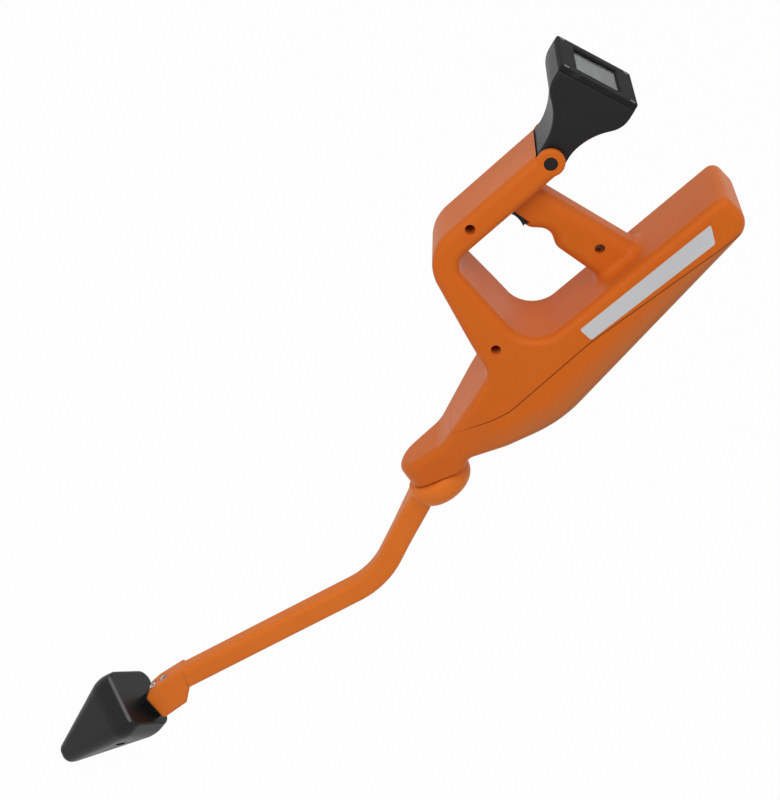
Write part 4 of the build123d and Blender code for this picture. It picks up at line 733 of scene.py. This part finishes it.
# The copper is painted darker in the grooves between the turns: painted shade.
WIRE_GROOVE_SHADE = (0.3, 0.09, 0.03, 1)
WIRE_CREST = (0.62, 0.24, 0.1, 1)
WIRE_ROUGHNESS = (0.4, 0.25)
WIRE_STRENGTH = 0.6
WIRE_HEIGHT = 0.00015
ferrite = moulded(
    "ferrite_rod",
    colour=(0.03, 0.03, 0.032, 1),
    drift=(0.045, 0.043, 0.043, 1),
    scuff=(0.1, 0.1, 0.1, 1),
    roughness=0.6,
    specular=0.4,
    grain=600.0,
    grain_depth=0.00008,
)
dress(ferrite, "antenna_core")
copper, copper_tree, copper_shader = new_material("lacquered_copper_wire")
turns = add_node(
    copper_tree,
    "ShaderNodeTexWave",
    {"Vector": object_place(copper_tree), "Scale": WINDING_SCALE},
    wave_type="BANDS",
    bands_direction="Z",
).outputs["Fac"]
feed(
    copper_shader,
    {
        "Base Color": add_mix(copper_tree, turns, WIRE_GROOVE_SHADE, WIRE_CREST),
        "Roughness": add_range(copper_tree, turns, 0.0, 1.0, *WIRE_ROUGHNESS),
        "Metallic": 1.0,
        "Normal": add_bump(copper_tree, turns, WIRE_STRENGTH, WIRE_HEIGHT),
    },
)
dress(copper, "antenna_coil")

# Floor: a wide pale sheet just under the foot. The camera, gloss and glass see it as white, with a
# faint soft shadow.
FLOOR_DROP = 0.002
FLOOR_HALF = 30.0
PAPER = (0.85, 0.85, 0.85, 1)
PAPER_WHITE = 0.97


def seen_rays(tree):
    rays = add_node(tree, "ShaderNodeLightPath").outputs
    seen = add_math(tree, "MAXIMUM", rays["Is Camera Ray"], rays["Is Glossy Ray"])
    return add_math(tree, "MAXIMUM", seen, rays["Is Transmission Ray"])


paper = bpy.data.materials.new("pale_paper")
paper.use_nodes = True
paper_tree = paper.node_tree
paper_tree.nodes.clear()
matt = add_node(paper_tree, "ShaderNodeBsdfDiffuse", {"Color": PAPER}).outputs["BSDF"]
white = add_node(paper_tree, "ShaderNodeEmission").outputs["Emission"]
white_share = add_math(paper_tree, "MULTIPLY", seen_rays(paper_tree), PAPER_WHITE)
lit_paper = add_node(paper_tree, "ShaderNodeMixShader", {0: white_share, 1: matt, 2: white})
add_node(paper_tree, "ShaderNodeOutputMaterial", {"Surface": lit_paper.outputs["Shader"]})
mesh = bmesh.new()
bmesh.ops.create_grid(mesh, x_segments=1, y_segments=1, size=FLOOR_HALF)
bmesh.ops.translate(mesh, verts=list(mesh.verts), vec=(0, 0, cad_box[0][2] - FLOOR_DROP))
floor = add_piece("floor", mesh, paper)

# Camera: about 1.7 m off to the left and above, and rolled, so that the locator lies across the
# picture from the upper right to the lower left.
CAMERA_PLACE = Vector((-0.5045, -1.5729, 0.4777))
CAMERA_RIGHT = Vector((0.8087, 0.0291, 0.5875))
CAMERA_DOWN = Vector((0.5252, -0.4854, -0.6990))
CAMERA_LENS = 83.08
CAMERA_SENSOR = 36.0
CAMERA_REACH = 200.0
camera_data = bpy.data.cameras.new("camera")
camera_data.sensor_fit = "HORIZONTAL"
camera_data.sensor_width = CAMERA_SENSOR
camera_data.lens = CAMERA_LENS
camera_data.clip_end = CAMERA_REACH
camera = bpy.data.objects.new("camera", camera_data)
camera_back = CAMERA_RIGHT.cross(-CAMERA_DOWN)
camera_turn = Matrix((CAMERA_RIGHT, -CAMERA_DOWN, camera_back)).transposed()
camera.matrix_world = Matrix.Translation(CAMERA_PLACE) @ camera_turn.to_4x4()
bpy.context.scene.collection.objects.link(camera)
bpy.context.scene.camera = camera

# Studio light: a white surround, a broad soft lamp off to the camera's left and a smaller one high
# over the camera, which picks out the upper edges.
SURROUND_LIGHT = 0.56
SURROUND_SEEN = 1.0
LAMP_TARGET = Vector((0.0, 0.0, -0.3))
LAMPS = [
    ("key_lamp", Vector((-1.4, -1.5, 0.4)), 1.2, 12.0),
    ("top_lamp", Vector((-0.4, -1.1, 1.6)), 0.7, 9.5),
]
world = bpy.data.worlds.new("white_surround")
world.use_nodes = True
bpy.context.scene.world = world
sky_tree = world.node_tree
sky_strength = add_range(sky_tree, seen_rays(sky_tree), 0.0, 1.0, SURROUND_LIGHT, SURROUND_SEEN)
feed(sky_tree.nodes["Background"], {"Color": (1, 1, 1, 1), "Strength": sky_strength})
for name, place, width, power in LAMPS:
    lamp_data = bpy.data.lights.new(name, "AREA")
    lamp_data.size = width
    lamp_data.energy = power
    lamp = bpy.data.objects.new(name, lamp_data)
    lamp.location = place
    lamp.rotation_euler = (LAMP_TARGET - place).to_track_quat("-Z", "Y").to_euler()
    bpy.context.scene.collection.objects.link(lamp)

# Colours are shown as they are written.
bpy.context.scene.view_settings.view_transform = "Standard"
